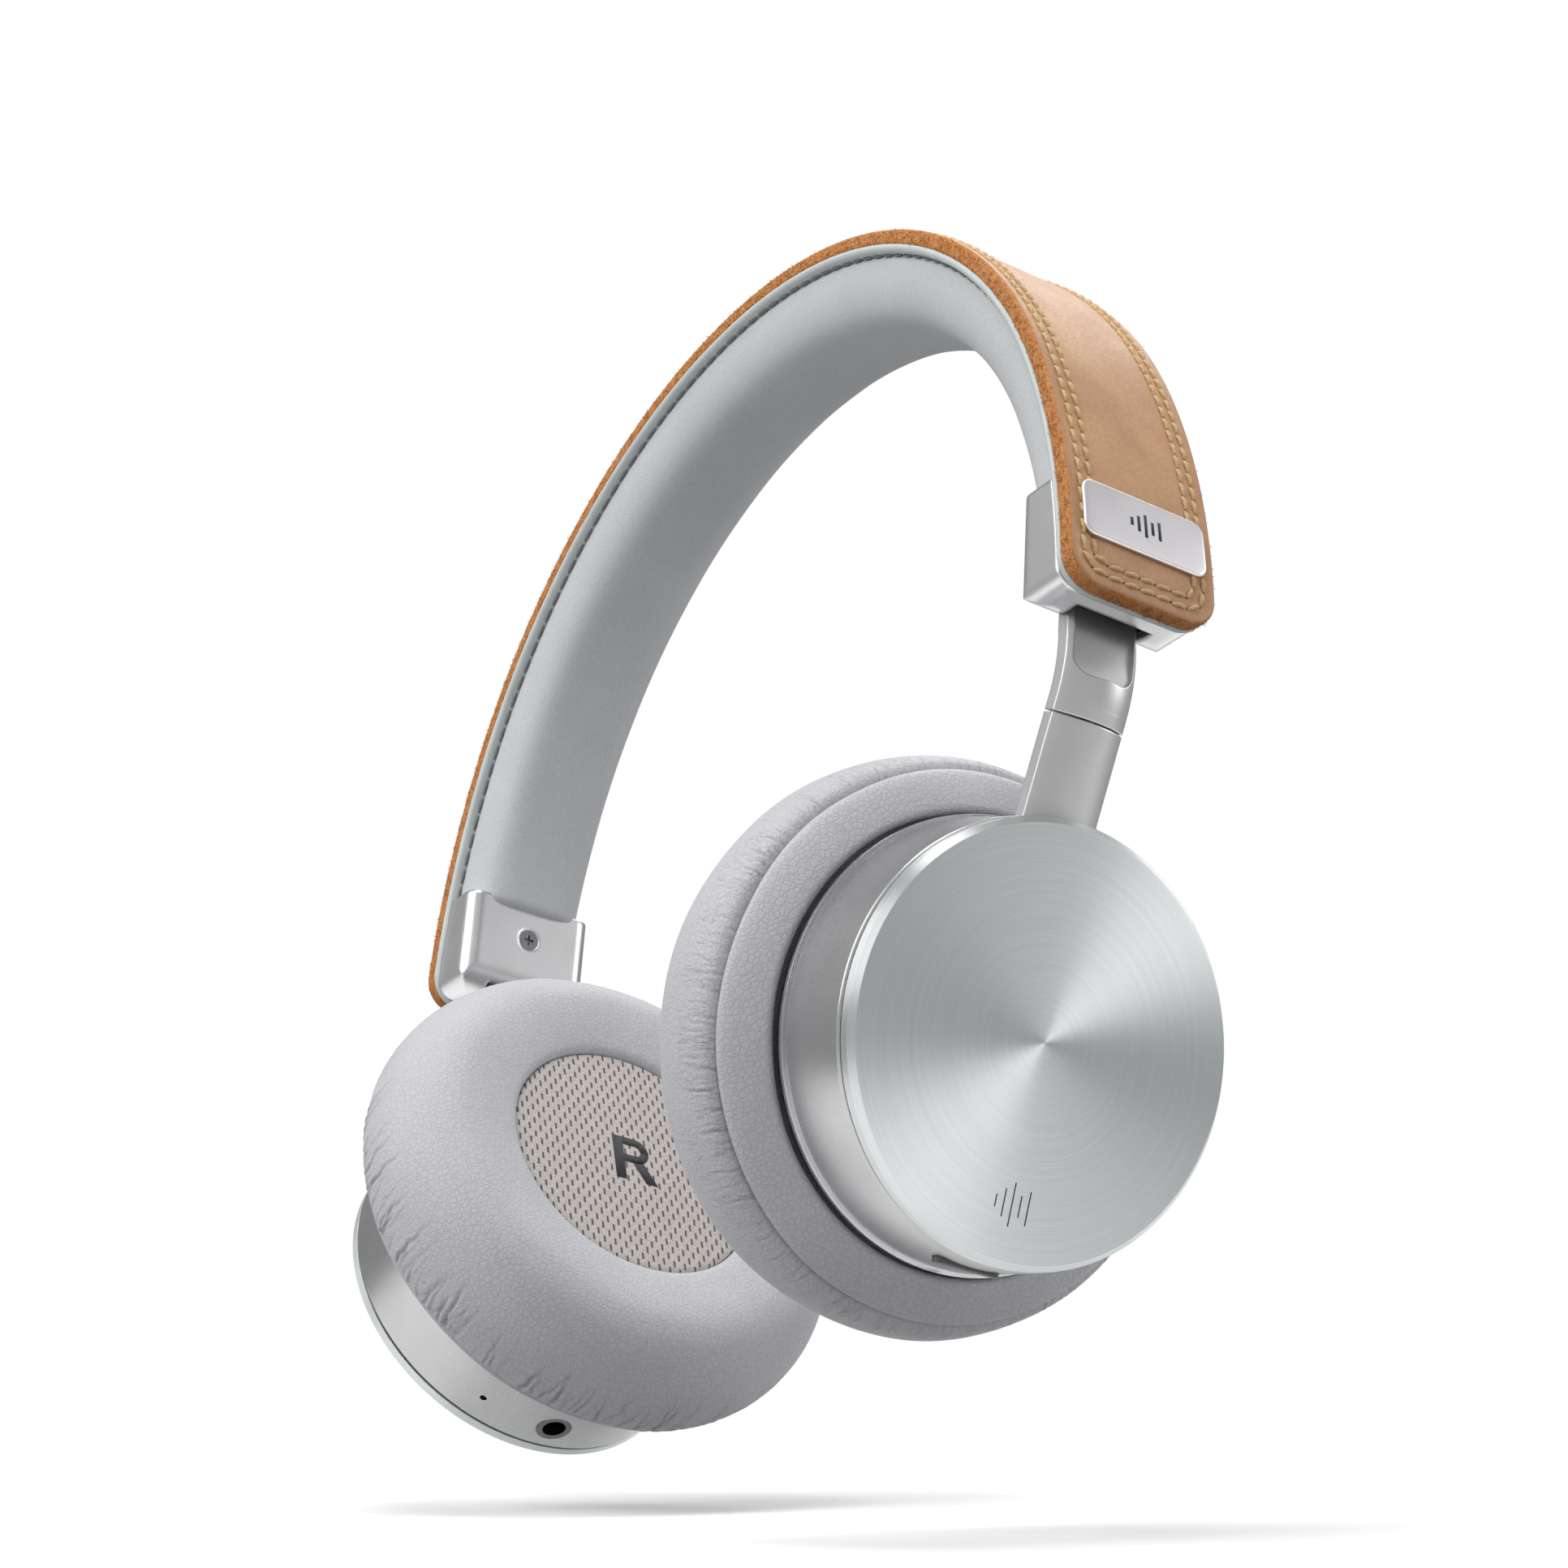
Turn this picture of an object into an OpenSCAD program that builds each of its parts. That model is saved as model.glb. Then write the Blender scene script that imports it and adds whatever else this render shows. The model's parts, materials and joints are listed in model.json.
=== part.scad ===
// Wireless headphones: a padded leather headband with two sliding, swivelling and tilting ear cups.
// +X is the wearer's left, -Y the wearer's front, +Z up. The origin is the middle of the inner face
// of the padding at the crown, where the headband rests on the head.

/* [Headband] */
// Radius of the outer leather face over the crown
crown_r = 89; // [84:1:96]
// Half the angle that the crown arc spans
crown_deg = 66; // [60:1:70]
// Radius of the outer leather face down each side
side_r = 106; // [100:1:116]
// Angle that each side arc spans
side_deg = 23; // [20:1:24]
// Width of the leather strap
strap_w = 24; // [22:1:28]
// Radius of the rounded strap ends
strap_corner = 5; // [3:0.5:7]
// Thickness of the leather
leather_t = 2.4; // [1.6:0.2:3]
// Thickness of the carrier under the leather
carrier_t = 1.2; // [1:0.2:1.6]
// Thickness of the padding
padding_t = 9.2; // [8:0.2:10]
// Width of the padding
padding_w = 20.8; // [19:0.2:22]
// Width of the hidden spring steel band
spring_w = 16; // [12:1:17]

/* [End caps] */
// Height of each aluminium end cap
cap_h = 17; // [16:0.5:19]
// Width of each end cap
cap_w = 23; // [22:0.5:24]
// Radius of the cap's long inner edges
cap_edge = 2.5; // [1.5:0.5:3]
// Radius of the cap's lower edge
cap_foot = 4.5; // [3:0.5:5]

/* [Arms] */
// Width of the arm
arm_w = 11.4; // [10.5:0.1:11.6]
// Thickness of the arm at its crest
arm_t = 4.2; // [4:0.1:4.4]
// Lean of the lower arm from the vertical
arm_lean = 24.5; // [22:0.5:26]
// Radius of the bend at the arm's middle
bend_r = 22; // [20:1:26]
// Travel of each slider
slide_travel = 20; // [14:1:20]
// How far the left slider stands out from its stop
out_l = 1.6; // [0:0.2:3]
// How far the right slider stands out from its stop
out_r = 0.2; // [0:0.2:3]

/* [Cups] */
// Radius of the spun aluminium disc
disc_r = 29; // [28.5:0.25:29.5]
// Tilt of the left cup's disc from the vertical
tilt_l = 17; // [13:0.5:24]
// Tilt of the right cup's disc from the vertical
tilt_r = 20.5; // [13:0.5:24]
// Depth of the cup shell, disc included
shell_d = 14.6; // [14.6:0.1:15]
// Largest radius of the ear cushion
cushion_r = 39; // [38:0.25:40]
// Radius of the opening in the ear cushion
opening_r = 20.5; // [19.5:0.25:20.5]
// Radius of the headphone jack's bore
jack_r = 1.8; // [1.78:0.01:1.85]

/* [Hidden] */
$fn = 96;
eps = 0.01;
fit = 0.05;
gap = 0.15;
// Where swept pieces join, one runs a little way into the other, and is thinner there by lap all round
lap = 0.01;
lap_deg = 0.3;
$inset = 0;

// Headband
band_t = leather_t + carrier_t + padding_t;
spring_t = 0.6;
crown_c = [0, band_t - crown_r];
side_c = crown_c + (crown_r - side_r) * [sin(crown_deg), cos(crown_deg)];
end_deg = crown_deg + side_deg;
end_pt = side_c + side_r * [sin(end_deg), cos(end_deg)];
carrier_in = leather_t + carrier_t;
padding_bevel = 3.5;

// End caps and slides
cap_bottom = end_pt[1] + 0.7;
cap_top = cap_bottom + cap_h;
cap_in = end_pt[0] - band_t - 0.1;
cap_wall = 1.2;
screw_z = cap_bottom + 10.6;

// Arms: arm_in is the inner face, arm_c the middle of the thickness
arm_c = end_pt[0] - 9.05;
arm_in = arm_c - arm_t / 2;
arm_crest_r = 8.5;
bend_z = end_pt[1] - 0.1;
bend_end = [arm_c - bend_r * (1 - cos(arm_lean)), bend_z - bend_r * sin(arm_lean)];
seam_run = 2;
seam_gap = 0.3;
seam = bend_end - seam_run * [sin(arm_lean), cos(arm_lean)];
wall_top = bend_z + 21;
core_top = bend_z + 26;
blade_top = bend_z + slide_travel + 11;
pocket_floor = 2;
pocket_bottom = bend_z - 6.2;
groove_w = 1.3;
groove_d = 1;
swivel_pin_r = 1.1;
swivel_pin_up = 4;
swivel_pin_down = 5;

// Tilt hinge: its pin lies pin_run below the seam, pin_back behind the disc and pin_up above its centre
pin_run = 21.5;
pin_up = 22;
pin_back = 8.1;
pin = seam - pin_run * [sin(arm_lean), cos(arm_lean)];
eye_r = 2.6;
tilt_pin_r = 1.25;
ear_in = arm_w / 2 + 0.2;
ear_t = 2;

// Cup, in depths behind the disc's outer face
disc_t = 2.2;
seat_d = 2.6;
floor_d = 3.6;
shell_in = 27.8;
shell_mouth = disc_r + 0.2;
shell_foot = disc_r + 0.9;
trim_d = shell_d + 0.7;
baffle_d = trim_d + 1.3;
plate_d = baffle_d + 1.3;
port_d = 7.6;
mesh_d = 37.5;
boss = [-20, 11];
boss_r = 2;
screw_r = 0.8;
bracket_d = 11.5;
// Angle of the charging socket from the bottom of the left cup towards the back
socket_angle = 38;

// ---- Frames ----

// The left side at its own slide and tilt, and the right side as its mirror image
module left() {
  $out = out_l;
  $tilt = tilt_l;
  children();
}

module right() {
  $out = out_r;
  $tilt = tilt_r;
  mirror([1, 0, 0]) children();
}

// Children in the slider's frame
module at_slider() {
  translate([0, 0, -$out]) children();
}

// Children with +Z up the lower arm's axis and +X outwards, from the swivel seam
module at_seam() {
  at_slider() translate([seam[0], 0, seam[1]]) rotate([0, arm_lean, 0]) children();
}

// Children with the disc's outer face at z = 0, depth along -Z and +X down the cup
module at_cup() {
  at_slider() translate([pin[0], 0, pin[1]]) rotate([0, 90 + $tilt, 0])
    translate([pin_up, 0, pin_back]) children();
}

// Children with +Z outwards through the cup's wall, at an angle from straight down towards the back
module at_wall(angle, depth) {
  at_cup() translate([0, 0, -depth]) rotate([0, 0, angle]) rotate([0, 90, 0]) children();
}

// Children, a profile with x out from an arc's centre, turned about Y between two angles from the top
module arc_sweep(centre, from, to) {
  translate([centre[0], 0, centre[1]]) rotate([90, 0, 0])
    rotate_extrude(angle = to - from, start = 90 - to) children();
}

// Children, a profile with x = 0 at the outer leather face, swept along the whole headband
module band_sweep(reach) {
  arc_sweep(crown_c, -crown_deg - lap_deg, crown_deg + lap_deg) translate([crown_r, 0])
    let($inset = lap) children();
  arc_sweep(side_c, crown_deg, reach) translate([side_r, 0]) children();
  mirror([1, 0, 0]) arc_sweep(side_c, crown_deg, reach) translate([side_r, 0]) children();
}

// A rod across the arms, along Y
module rod(r, h) {
  rotate([90, 0, 0]) cylinder(r = r, h = h, center = true);
}

// Children at both of the cup's bosses, with +Z outwards from their ends
module at_bosses() {
  at_cup() for (y = [-1, 1]) translate([boss[0], y * boss[1], -bracket_d]) children();
}

// A ring or disc about the cup's axis, from points of radius and depth
module turned(points) {
  at_cup() rotate_extrude() polygon([for (p = points) [p[0], -p[1]]]);
}

// A rectangle between two radii and two depths, turned
module ring(r0, r1, d0, d1) {
  turned([[r0, d0], [r1, d0], [r1, d1], [r0, d1]]);
}

// ---- Profiles ----

// A layer of the headband: its width, and how far its two faces lie inside the leather's face
module layer(w, t0, t1) {
  translate([$inset - t1, $inset - w / 2]) square([t1 - t0 - 2 * $inset, w - 2 * $inset]);
}

module rounded_rect(w, h, r) {
  square([w - 2 * r, h], center = true);
  square([w, h - 2 * r], center = true);
  for (x = [-1, 1], y = [-1, 1]) translate([x * (w / 2 - r), y * (h / 2 - r)]) circle(r);
}

// Section of the padding, with bevelled inner corners and a groove for the spring band
module padding_section() {
  w = padding_w / 2 - $inset;
  h = padding_t - 2 * $inset;
  b = padding_bevel;
  difference() {
    translate([$inset - band_t, 0]) polygon([
      [0, b - w], [b / 3, b / 3 - w], [b, -w], [h, -w], [h, w], [b, w], [b / 3, w - b / 3], [0, w - b]
    ]);
    let($inset = -$inset) layer(spring_w, carrier_in - 1, carrier_in + spring_t);
  }
}

// Section of the arm: flat inside at x = 0, a crest outside
module arm_section() {
  intersection() {
    translate([arm_t - arm_crest_r, 0]) circle(arm_crest_r - $inset);
    translate([$inset, $inset - arm_w / 2]) square([arm_t, arm_w - 2 * $inset]);
  }
}

// ---- Headband ----

// Rounds the corners of both strap ends
module end_corners() {
  for (x = [0, 1], y = [0, 1]) mirror([x, 0, 0]) mirror([0, y, 0]) at_end_corner() difference() {
    translate([0, 0, -2]) cube([12, strap_corner + 1, strap_corner + 2]);
    translate([-1, 0, strap_corner]) rotate([0, 90, 0]) cylinder(r = strap_corner, h = 14);
  }
}

// Children at the back corner of the left strap end
module at_end_corner() {
  translate([end_pt[0] - 7, strap_w / 2 - strap_corner, end_pt[1]]) children();
}

module leather_strap() {
  color("peru") difference() {
    band_sweep(end_deg) layer(strap_w, 0, leather_t);
    end_corners();
  }
}

module strap_carrier() {
  color("honeydew") difference() {
    band_sweep(end_deg) layer(strap_w, leather_t, carrier_in);
    end_corners();
  }
}

module spring_band() {
  color("slategray") band_sweep(end_deg - 4) layer(spring_w, carrier_in, carrier_in + spring_t);
}

// The padding, with a channel behind each end cap for the slider to rise into
module headband_padding() {
  color("silver") difference() {
    band_sweep(end_deg - 6) padding_section();
    translate([-150, -20, cap_top + 0.1 - 60]) cube([300, 40, 60]);
    for (x = [0, 1]) mirror([x, 0, 0])
      translate([arm_in - 0.4, -arm_w / 2 - 0.4, cap_top - 8])
        cube([14, arm_w + 0.8, blade_top - cap_top + 9]);
  }
}

// Plain nameplate on the outer leather face at the left end
module badge() {
  color("gainsboro") intersection() {
    arc_sweep(side_c, end_deg - 12, end_deg - 2) translate([side_r, -12]) square([0.8, 24]);
    translate([side_r + side_c[0] - 12, 0, end_pt[1] + 11.9]) rotate([0, 90, 0]) rotate([0, 0, 90])
      linear_extrude(20) rounded_rect(20.2, 9, 1.8);
  }
}

// ---- End caps and slides ----

// The cap's outer form against the carrier, made smaller by an inset all round
module cap_form(inset) {
  z0 = cap_bottom + inset;
  x0 = cap_in + inset;
  w = cap_w - 2 * inset;
  h = cap_h + cap_foot;
  edge = cap_edge - inset / 2;
  foot = cap_foot - inset;
  intersection() {
    translate([x0, w / 2, z0]) rotate([90, 0, 0]) linear_extrude(w) difference() {
      square([14, cap_top - z0]);
      difference() {
        translate([-1, -1]) square(foot + 1);
        translate([foot, foot]) circle(foot);
      }
    }
    translate([x0 + 10, 0, z0 - 1]) linear_extrude(h + 2) rounded_rect(20, w, edge);
    translate([x0 - 1, 0, z0 + h / 2]) rotate([0, 90, 0]) linear_extrude(16) rounded_rect(h, w, 3);
    arc_disc(side_r - carrier_in);
  }
}

// A disc about the side arc's centre, as wide as the strap
module arc_disc(r) {
  translate([side_c[0], 0, side_c[1]]) rod(r, strap_w, $fn = 180);
}

// Room for the spring band's end
module spring_slot() {
  arc_sweep(side_c, crown_deg, end_deg - 4 + 0.2) translate([side_r, 0])
    layer(spring_w + 0.2, carrier_in - 1, carrier_in + spring_t);
}

// Room for the arm inside the cap
module arm_channel(clear) {
  translate([arm_in - clear, -arm_w / 2 - clear, cap_bottom - 1])
    cube([arm_t + 2 * clear, arm_w + 2 * clear, cap_h + 2]);
}

// Hole for the cap's screw: its head, shank and tip, each larger by some clearance
module cap_screw_form(clear) {
  translate([cap_in - eps, 0, screw_z]) rotate([0, 90, 0]) {
    cylinder(r = 1.8 + clear, h = 0.9 + eps);
    cylinder(r = 0.8 + clear, h = arm_in - cap_in - 0.1);
    cylinder(r = 0.45 + clear, h = arm_in - cap_in + 0.7);
  }
}

module end_cap() {
  color("lightgray") difference() {
    cap_form(0);
    difference() {
      cap_form(cap_wall);
      translate([arm_in + 9, -15, cap_bottom - 1]) cube([9, 30, 30]);
    }
    translate([cap_in + cap_wall + 3, -cap_w / 2 + cap_wall + 1.3, cap_top - 4])
      cube([1.5, cap_w - 2 * cap_wall - 2.6, 5]);
    arm_channel(0.5);
    spring_slot();
    cap_screw_form(0);
  }
}

// Black liner that fills the cap and guides the arm
module slide_liner() {
  color("dimgray") difference() {
    intersection() {
      cap_form(cap_wall);
      arc_disc(side_r - carrier_in - spring_t);
    }
    translate([arm_in + 9, -15, cap_bottom - 1]) cube([9, 30, 30]);
    arm_channel(gap);
    translate([arm_in + arm_t + gap - eps, -3, cap_bottom + 4]) cube([0.7, 6, 10]);
    cap_screw_form(0);
  }
}

module cap_screw() {
  difference() {
    cap_screw_form(0);
    for (a = [0, 90]) translate([cap_in, 0, screw_z]) rotate([a, 0, 0])
      translate([-eps, -0.9, -0.2]) cube([0.6, 1.8, 0.4]);
    translate([cap_in - 1, 0, screw_z]) rotate([0, 90, 0]) cylinder(r = 5, h = 1);
  }
}

module cap_screws() {
  color("silver") for (x = [0, 1]) mirror([x, 0, 0]) cap_screw();
}

// Leaf springs that hold the sliders by friction
module detent_springs() {
  color("gray") for (x = [0, 1]) mirror([x, 0, 0])
    translate([arm_in + arm_t + gap + 0.25, -2.8, cap_bottom + 4.2]) cube([0.4, 5.6, 9.6]);
}

// ---- Arms ----

module upper_arm() {
  color("silver") at_slider() difference() {
    union() {
      translate([arm_in, 0, bend_z]) linear_extrude(wall_top - bend_z) arm_section();
      translate([arm_in, 0, wall_top - eps]) linear_extrude(core_top - wall_top + eps) intersection() {
        arm_section();
        translate([0, -arm_w / 2]) square([pocket_floor, arm_w]);
      }
      translate([arm_in, -4, core_top - eps]) cube([0.8, 8, blade_top - core_top + eps]);
      arc_sweep([arm_c - bend_r, bend_z], 90 - lap_deg, 90 + arm_lean + lap_deg)
        translate([bend_r - arm_t / 2, 0]) let($inset = lap) arm_section();
      translate([bend_end[0], 0, bend_end[1]]) rotate([0, arm_lean, 0])
        translate([-arm_t / 2, 0, -seam_run + seam_gap / 2])
          linear_extrude(seam_run - seam_gap / 2) arm_section();
    }
    pocket();
    translate([arm_in - 1, -groove_w / 2, bend_z - 3]) cube([1 + groove_d, groove_w, 60]);
    translate([seam[0], 0, seam[1]]) rotate([0, arm_lean, 0]) translate([0, 0, -1])
      cylinder(r = swivel_pin_r + fit, h = 1 + swivel_pin_up + 0.2);
  }
}

// Recess in the arm's outer face, with round lower corners
module pocket() {
  w = arm_w - 1.6;
  r = 3;
  translate([arm_in + pocket_floor, 0, pocket_bottom]) {
    translate([0, -w / 2, r]) cube([5, w, 60]);
    translate([0, -w / 2 + r, 0]) cube([5, w - 2 * r, r + 1]);
    for (y = [-1, 1]) translate([0, y * (w / 2 - r), r]) rotate([0, 90, 0]) cylinder(r = r, h = 5);
  }
}

module lower_arm() {
  color("silver") at_seam() difference() {
    union() {
      translate([-arm_t / 2, 0, -pin_run]) linear_extrude(pin_run - seam_gap / 2) arm_section();
      translate([0, 0, -pin_run]) rod(eye_r, arm_w);
    }
    translate([0, 0, -pin_run]) rod(tilt_pin_r + fit, arm_w + 1);
    translate([0, 0, -swivel_pin_down]) cylinder(r = swivel_pin_r, h = swivel_pin_down + 1);
  }
}

module swivel_pin() {
  color("dimgray") at_seam() translate([0, 0, -swivel_pin_down])
    cylinder(r = swivel_pin_r, h = swivel_pin_down + swivel_pin_up);
}

// ---- Cups ----

// Spun disc with a polished chamfer and a spigot that seats it in the shell
module outer_disc() {
  chamfer = 0.8;
  spigot_r = disc_r - 1.2;
  color("lightgray") turned([
    [0, 0], [disc_r - chamfer, 0], [disc_r, chamfer], [disc_r, disc_t],
    [spigot_r, disc_t], [spigot_r, seat_d], [0, seat_d]
  ]);
}

// Wall and end plate of the cup, with bosses for the bracket and the slot that the arm comes through
module shell_form() {
  turned([
    [0, seat_d], [shell_mouth - 0.3, seat_d], [shell_mouth, seat_d + 0.3], [shell_foot, shell_d],
    [shell_in, shell_d], [shell_in, floor_d], [0, floor_d]
  ]);
  at_bosses() cylinder(r = boss_r, h = bracket_d - seat_d - 0.5);
}

module arm_slot() {
  at_cup() translate([-shell_foot - 1, -arm_w / 2 - 0.4, -10.9]) cube([5, arm_w + 0.8, 7.1]);
}

module boss_bores() {
  at_bosses() translate([0, 0, -1]) cylinder(r = screw_r, h = 6);
}

module cup_shell_l() {
  color("silver") left() difference() {
    shell_form();
    arm_slot();
    boss_bores();
    at_wall(0, port_d) translate([0, 0, 24]) linear_extrude(8) key_outline(gap);
    at_wall(socket_angle, port_d) translate([0, 0, 24]) linear_extrude(8) socket_outline(0.1);
  }
}

module cup_shell_r() {
  color("silver") right() difference() {
    shell_form();
    arm_slot();
    boss_bores();
    at_wall(0, port_d) cylinder(r = 2.7, h = 40);
    at_wall(-24, port_d) cylinder(r = 0.55, h = 40);
  }
}

module trim_ring() {
  color("whitesmoke") ring(shell_in - 0.8, shell_foot + 0.4, shell_d, trim_d);
}

module tilt_bracket() {
  color("darkgray") difference() {
    at_cup() {
      translate([boss[0] - 2.2, -13.4, -bracket_d - 1.2]) cube([5.2, 26.8, 1.2]);
      for (y = [-1, 1]) translate([0, y * (ear_in + ear_t / 2), 0]) {
        translate([-pin_up - 1.2, -ear_t / 2, -bracket_d]) cube([3.6, ear_t, bracket_d - pin_back]);
        translate([-pin_up, 0, -pin_back]) rod(eye_r - 0.2, ear_t);
      }
    }
    at_cup() translate([-pin_up, 0, -pin_back]) rod(tilt_pin_r, 40);
    at_bosses() translate([0, 0, -2]) cylinder(r = screw_r + 0.1, h = 3);
  }
}

module tilt_pin() {
  color("dimgray") at_cup() translate([-pin_up, 0, -pin_back]) rod(tilt_pin_r, 2 * (ear_in + ear_t));
}

module bracket_screws() {
  color("gray") at_bosses() translate([0, 0, -2.1]) {
    cylinder(r = 1.5, h = 0.9);
    cylinder(r = screw_r, h = 6);
  }
}

module baffle() {
  color("dimgray") ring(17, 28.4, trim_d, baffle_d);
}

// Basket of the driver, open in front, with a round window for the magnet behind
module driver_frame() {
  color("black") turned([
    [17, baffle_d], [20, baffle_d], [20, baffle_d + 1.2], [15.2, baffle_d + 1.2],
    [15.2, 11.4], [9.1, 11.4], [9.1, 10.4], [16.8, 10.4], [16.8, baffle_d]
  ]);
}

module driver_magnet() {
  color("darkgray") ring(0, 9.1, 9.4, 15);
}

module diaphragm() {
  d = baffle_d + 1.2;
  color("lightyellow") turned([
    [0, d + 1.9], [7, d + 1.2], [8, d + 0.3], [13, d + 0.9], [18.5, d], [18.5, d + 0.2], [13, d + 1.1],
    [8.2, d + 0.5], [7.2, d + 1.4], [0, d + 2.1]
  ]);
}

module cushion_plate() {
  color("dimgray") ring(20.6, 28.6, baffle_d, plate_d);
}

// Ear cushion: a sloping back, a seam, a rounded side and a dished face
module ear_cushion() {
  color("lightsteelblue") turned([
    [29, trim_d + 0.3], [29.9, trim_d + 0.3], [37.1, 20.7], [38.3, 23], [cushion_r, 26.5],
    [cushion_r - 0.4, 30.5], [37.2, 34], [35, 37], [32, 39.3], [29, 40], [25, 39.4], [opening_r, 38.2],
    [opening_r, plate_d], [29, plate_d]
  ]);
}

module foam_disc() {
  color("darkslategray") ring(0, opening_r, 33, mesh_d - 0.6);
}

module ear_mesh() {
  color("antiquewhite") ring(0, opening_r, mesh_d - 0.6, mesh_d);
}

// ---- Left cup's own parts ----

// The key's outline across the cup's wall, larger by some clearance
module key_outline(clear) {
  hw = 1.1 + clear;
  len = 5;
  square([2 * hw, 2 * (len - 1.1)], center = true);
  for (y = [-1, 1]) translate([0, y * (len - 1.1)]) circle(hw);
}

module socket_outline(clear) {
  rounded_rect(2.6 + 2 * clear, 7.6 + 2 * clear, 0.8);
}

module control_key() {
  color("dimgray") left() at_wall(0, port_d) {
    translate([0, 0, 26]) linear_extrude(3.7) key_outline(0);
    translate([-1.9, -5.6, 25.6]) cube([3.8, 11.2, 0.9]);
  }
}

module key_switch() {
  color("black") left() at_wall(0, port_d) translate([-1.6, -3, 22.6]) cube([3.2, 6, 2.3]);
}

// Micro charging socket, open outwards
module charge_socket() {
  color("darkgray") left() at_wall(socket_angle, port_d) difference() {
    translate([0, 0, 22.6]) linear_extrude(6.4) socket_outline(0);
    translate([0, 0, 23.2]) linear_extrude(7) rounded_rect(2, 7, 0.6);
  }
}

module charge_board() {
  color("darkgreen") left() ring(0, 18.6, floor_d + 0.2, floor_d + 1.2);
}

module battery() {
  color("steelblue") left() at_cup() translate([-9.5, -14, -9]) cube([19, 28, 4]);
}

// ---- Right cup's own parts ----

module main_board() {
  color("darkgreen") right() ring(0, 18.6, floor_d + 0.2, floor_d + 1.2);
}

module jack_socket() {
  color("black") right() at_wall(0, port_d) difference() {
    translate([-2.5, -3, 13.6]) cube([5, 6, 13.8]);
    translate([0, 0, 14.4]) cylinder(r = jack_r, h = 14);
  }
}

module jack_ring() {
  color("gray") right() at_wall(0, port_d) difference() {
    translate([0, 0, 27.4]) cylinder(r = 2.7, h = 2.1);
    cylinder(r = jack_r, h = 40);
  }
}

module microphone() {
  color("goldenrod") right() at_wall(-24, port_d) translate([0, 0, 26.1]) cylinder(r = 2, h = 1.2);
}

leather_strap();
strap_carrier();
headband_padding();
spring_band();
badge();
left() end_cap();  // end_cap_l
right() end_cap();  // end_cap_r
left() slide_liner();  // slide_liner_l
right() slide_liner();  // slide_liner_r
cap_screws();
detent_springs();
left() upper_arm();  // upper_arm_l
right() upper_arm();  // upper_arm_r
left() lower_arm();  // lower_arm_l
right() lower_arm();  // lower_arm_r
left() swivel_pin();  // swivel_pin_l
right() swivel_pin();  // swivel_pin_r
cup_shell_l();
cup_shell_r();
left() outer_disc();  // outer_disc_l
right() outer_disc();  // outer_disc_r
left() trim_ring();  // trim_ring_l
right() trim_ring();  // trim_ring_r
left() tilt_bracket();  // tilt_bracket_l
right() tilt_bracket();  // tilt_bracket_r
left() tilt_pin();  // tilt_pin_l
right() tilt_pin();  // tilt_pin_r
left() bracket_screws();  // bracket_screws_l
right() bracket_screws();  // bracket_screws_r
left() baffle();  // baffle_l
right() baffle();  // baffle_r
left() driver_frame();  // driver_frame_l
right() driver_frame();  // driver_frame_r
left() driver_magnet();  // driver_magnet_l
right() driver_magnet();  // driver_magnet_r
left() diaphragm();  // diaphragm_l
right() diaphragm();  // diaphragm_r
left() cushion_plate();  // cushion_plate_l
right() cushion_plate();  // cushion_plate_r
left() ear_cushion();  // ear_cushion_l
right() ear_cushion();  // ear_cushion_r
left() foam_disc();  // foam_disc_l
right() foam_disc();  // foam_disc_r
left() ear_mesh();  // ear_mesh_l
right() ear_mesh();  // ear_mesh_r
battery();
charge_board();
charge_socket();
control_key();
key_switch();
main_board();
jack_socket();
jack_ring();
microphone();
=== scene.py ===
"""Looks of the wireless headphones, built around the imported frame. Lengths are in metres."""

import json
import math

import bmesh
import bpy
import numpy as np
from mathutils import Matrix, Vector, noise


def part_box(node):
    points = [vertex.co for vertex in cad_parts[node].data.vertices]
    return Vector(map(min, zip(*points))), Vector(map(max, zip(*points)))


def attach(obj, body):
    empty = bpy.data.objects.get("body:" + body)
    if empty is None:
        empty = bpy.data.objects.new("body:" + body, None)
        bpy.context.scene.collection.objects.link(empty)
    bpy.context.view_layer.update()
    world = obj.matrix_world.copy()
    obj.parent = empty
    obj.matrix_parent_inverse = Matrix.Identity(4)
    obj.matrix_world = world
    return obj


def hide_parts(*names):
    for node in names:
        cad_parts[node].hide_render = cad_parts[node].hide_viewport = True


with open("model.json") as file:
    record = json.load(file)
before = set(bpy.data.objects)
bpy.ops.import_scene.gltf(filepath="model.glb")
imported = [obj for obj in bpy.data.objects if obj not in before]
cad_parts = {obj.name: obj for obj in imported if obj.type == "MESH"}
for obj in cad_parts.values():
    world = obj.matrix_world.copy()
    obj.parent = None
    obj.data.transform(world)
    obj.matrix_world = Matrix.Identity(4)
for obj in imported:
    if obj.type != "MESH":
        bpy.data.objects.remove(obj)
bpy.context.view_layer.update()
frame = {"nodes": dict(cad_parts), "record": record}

MM = 0.001
NODES = frame["nodes"]
MOUNTS = {m["name"]: m for m in frame["record"]["mounts"]}
SIDES = ("l", "r")
rng = np.random.default_rng(7)

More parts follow.
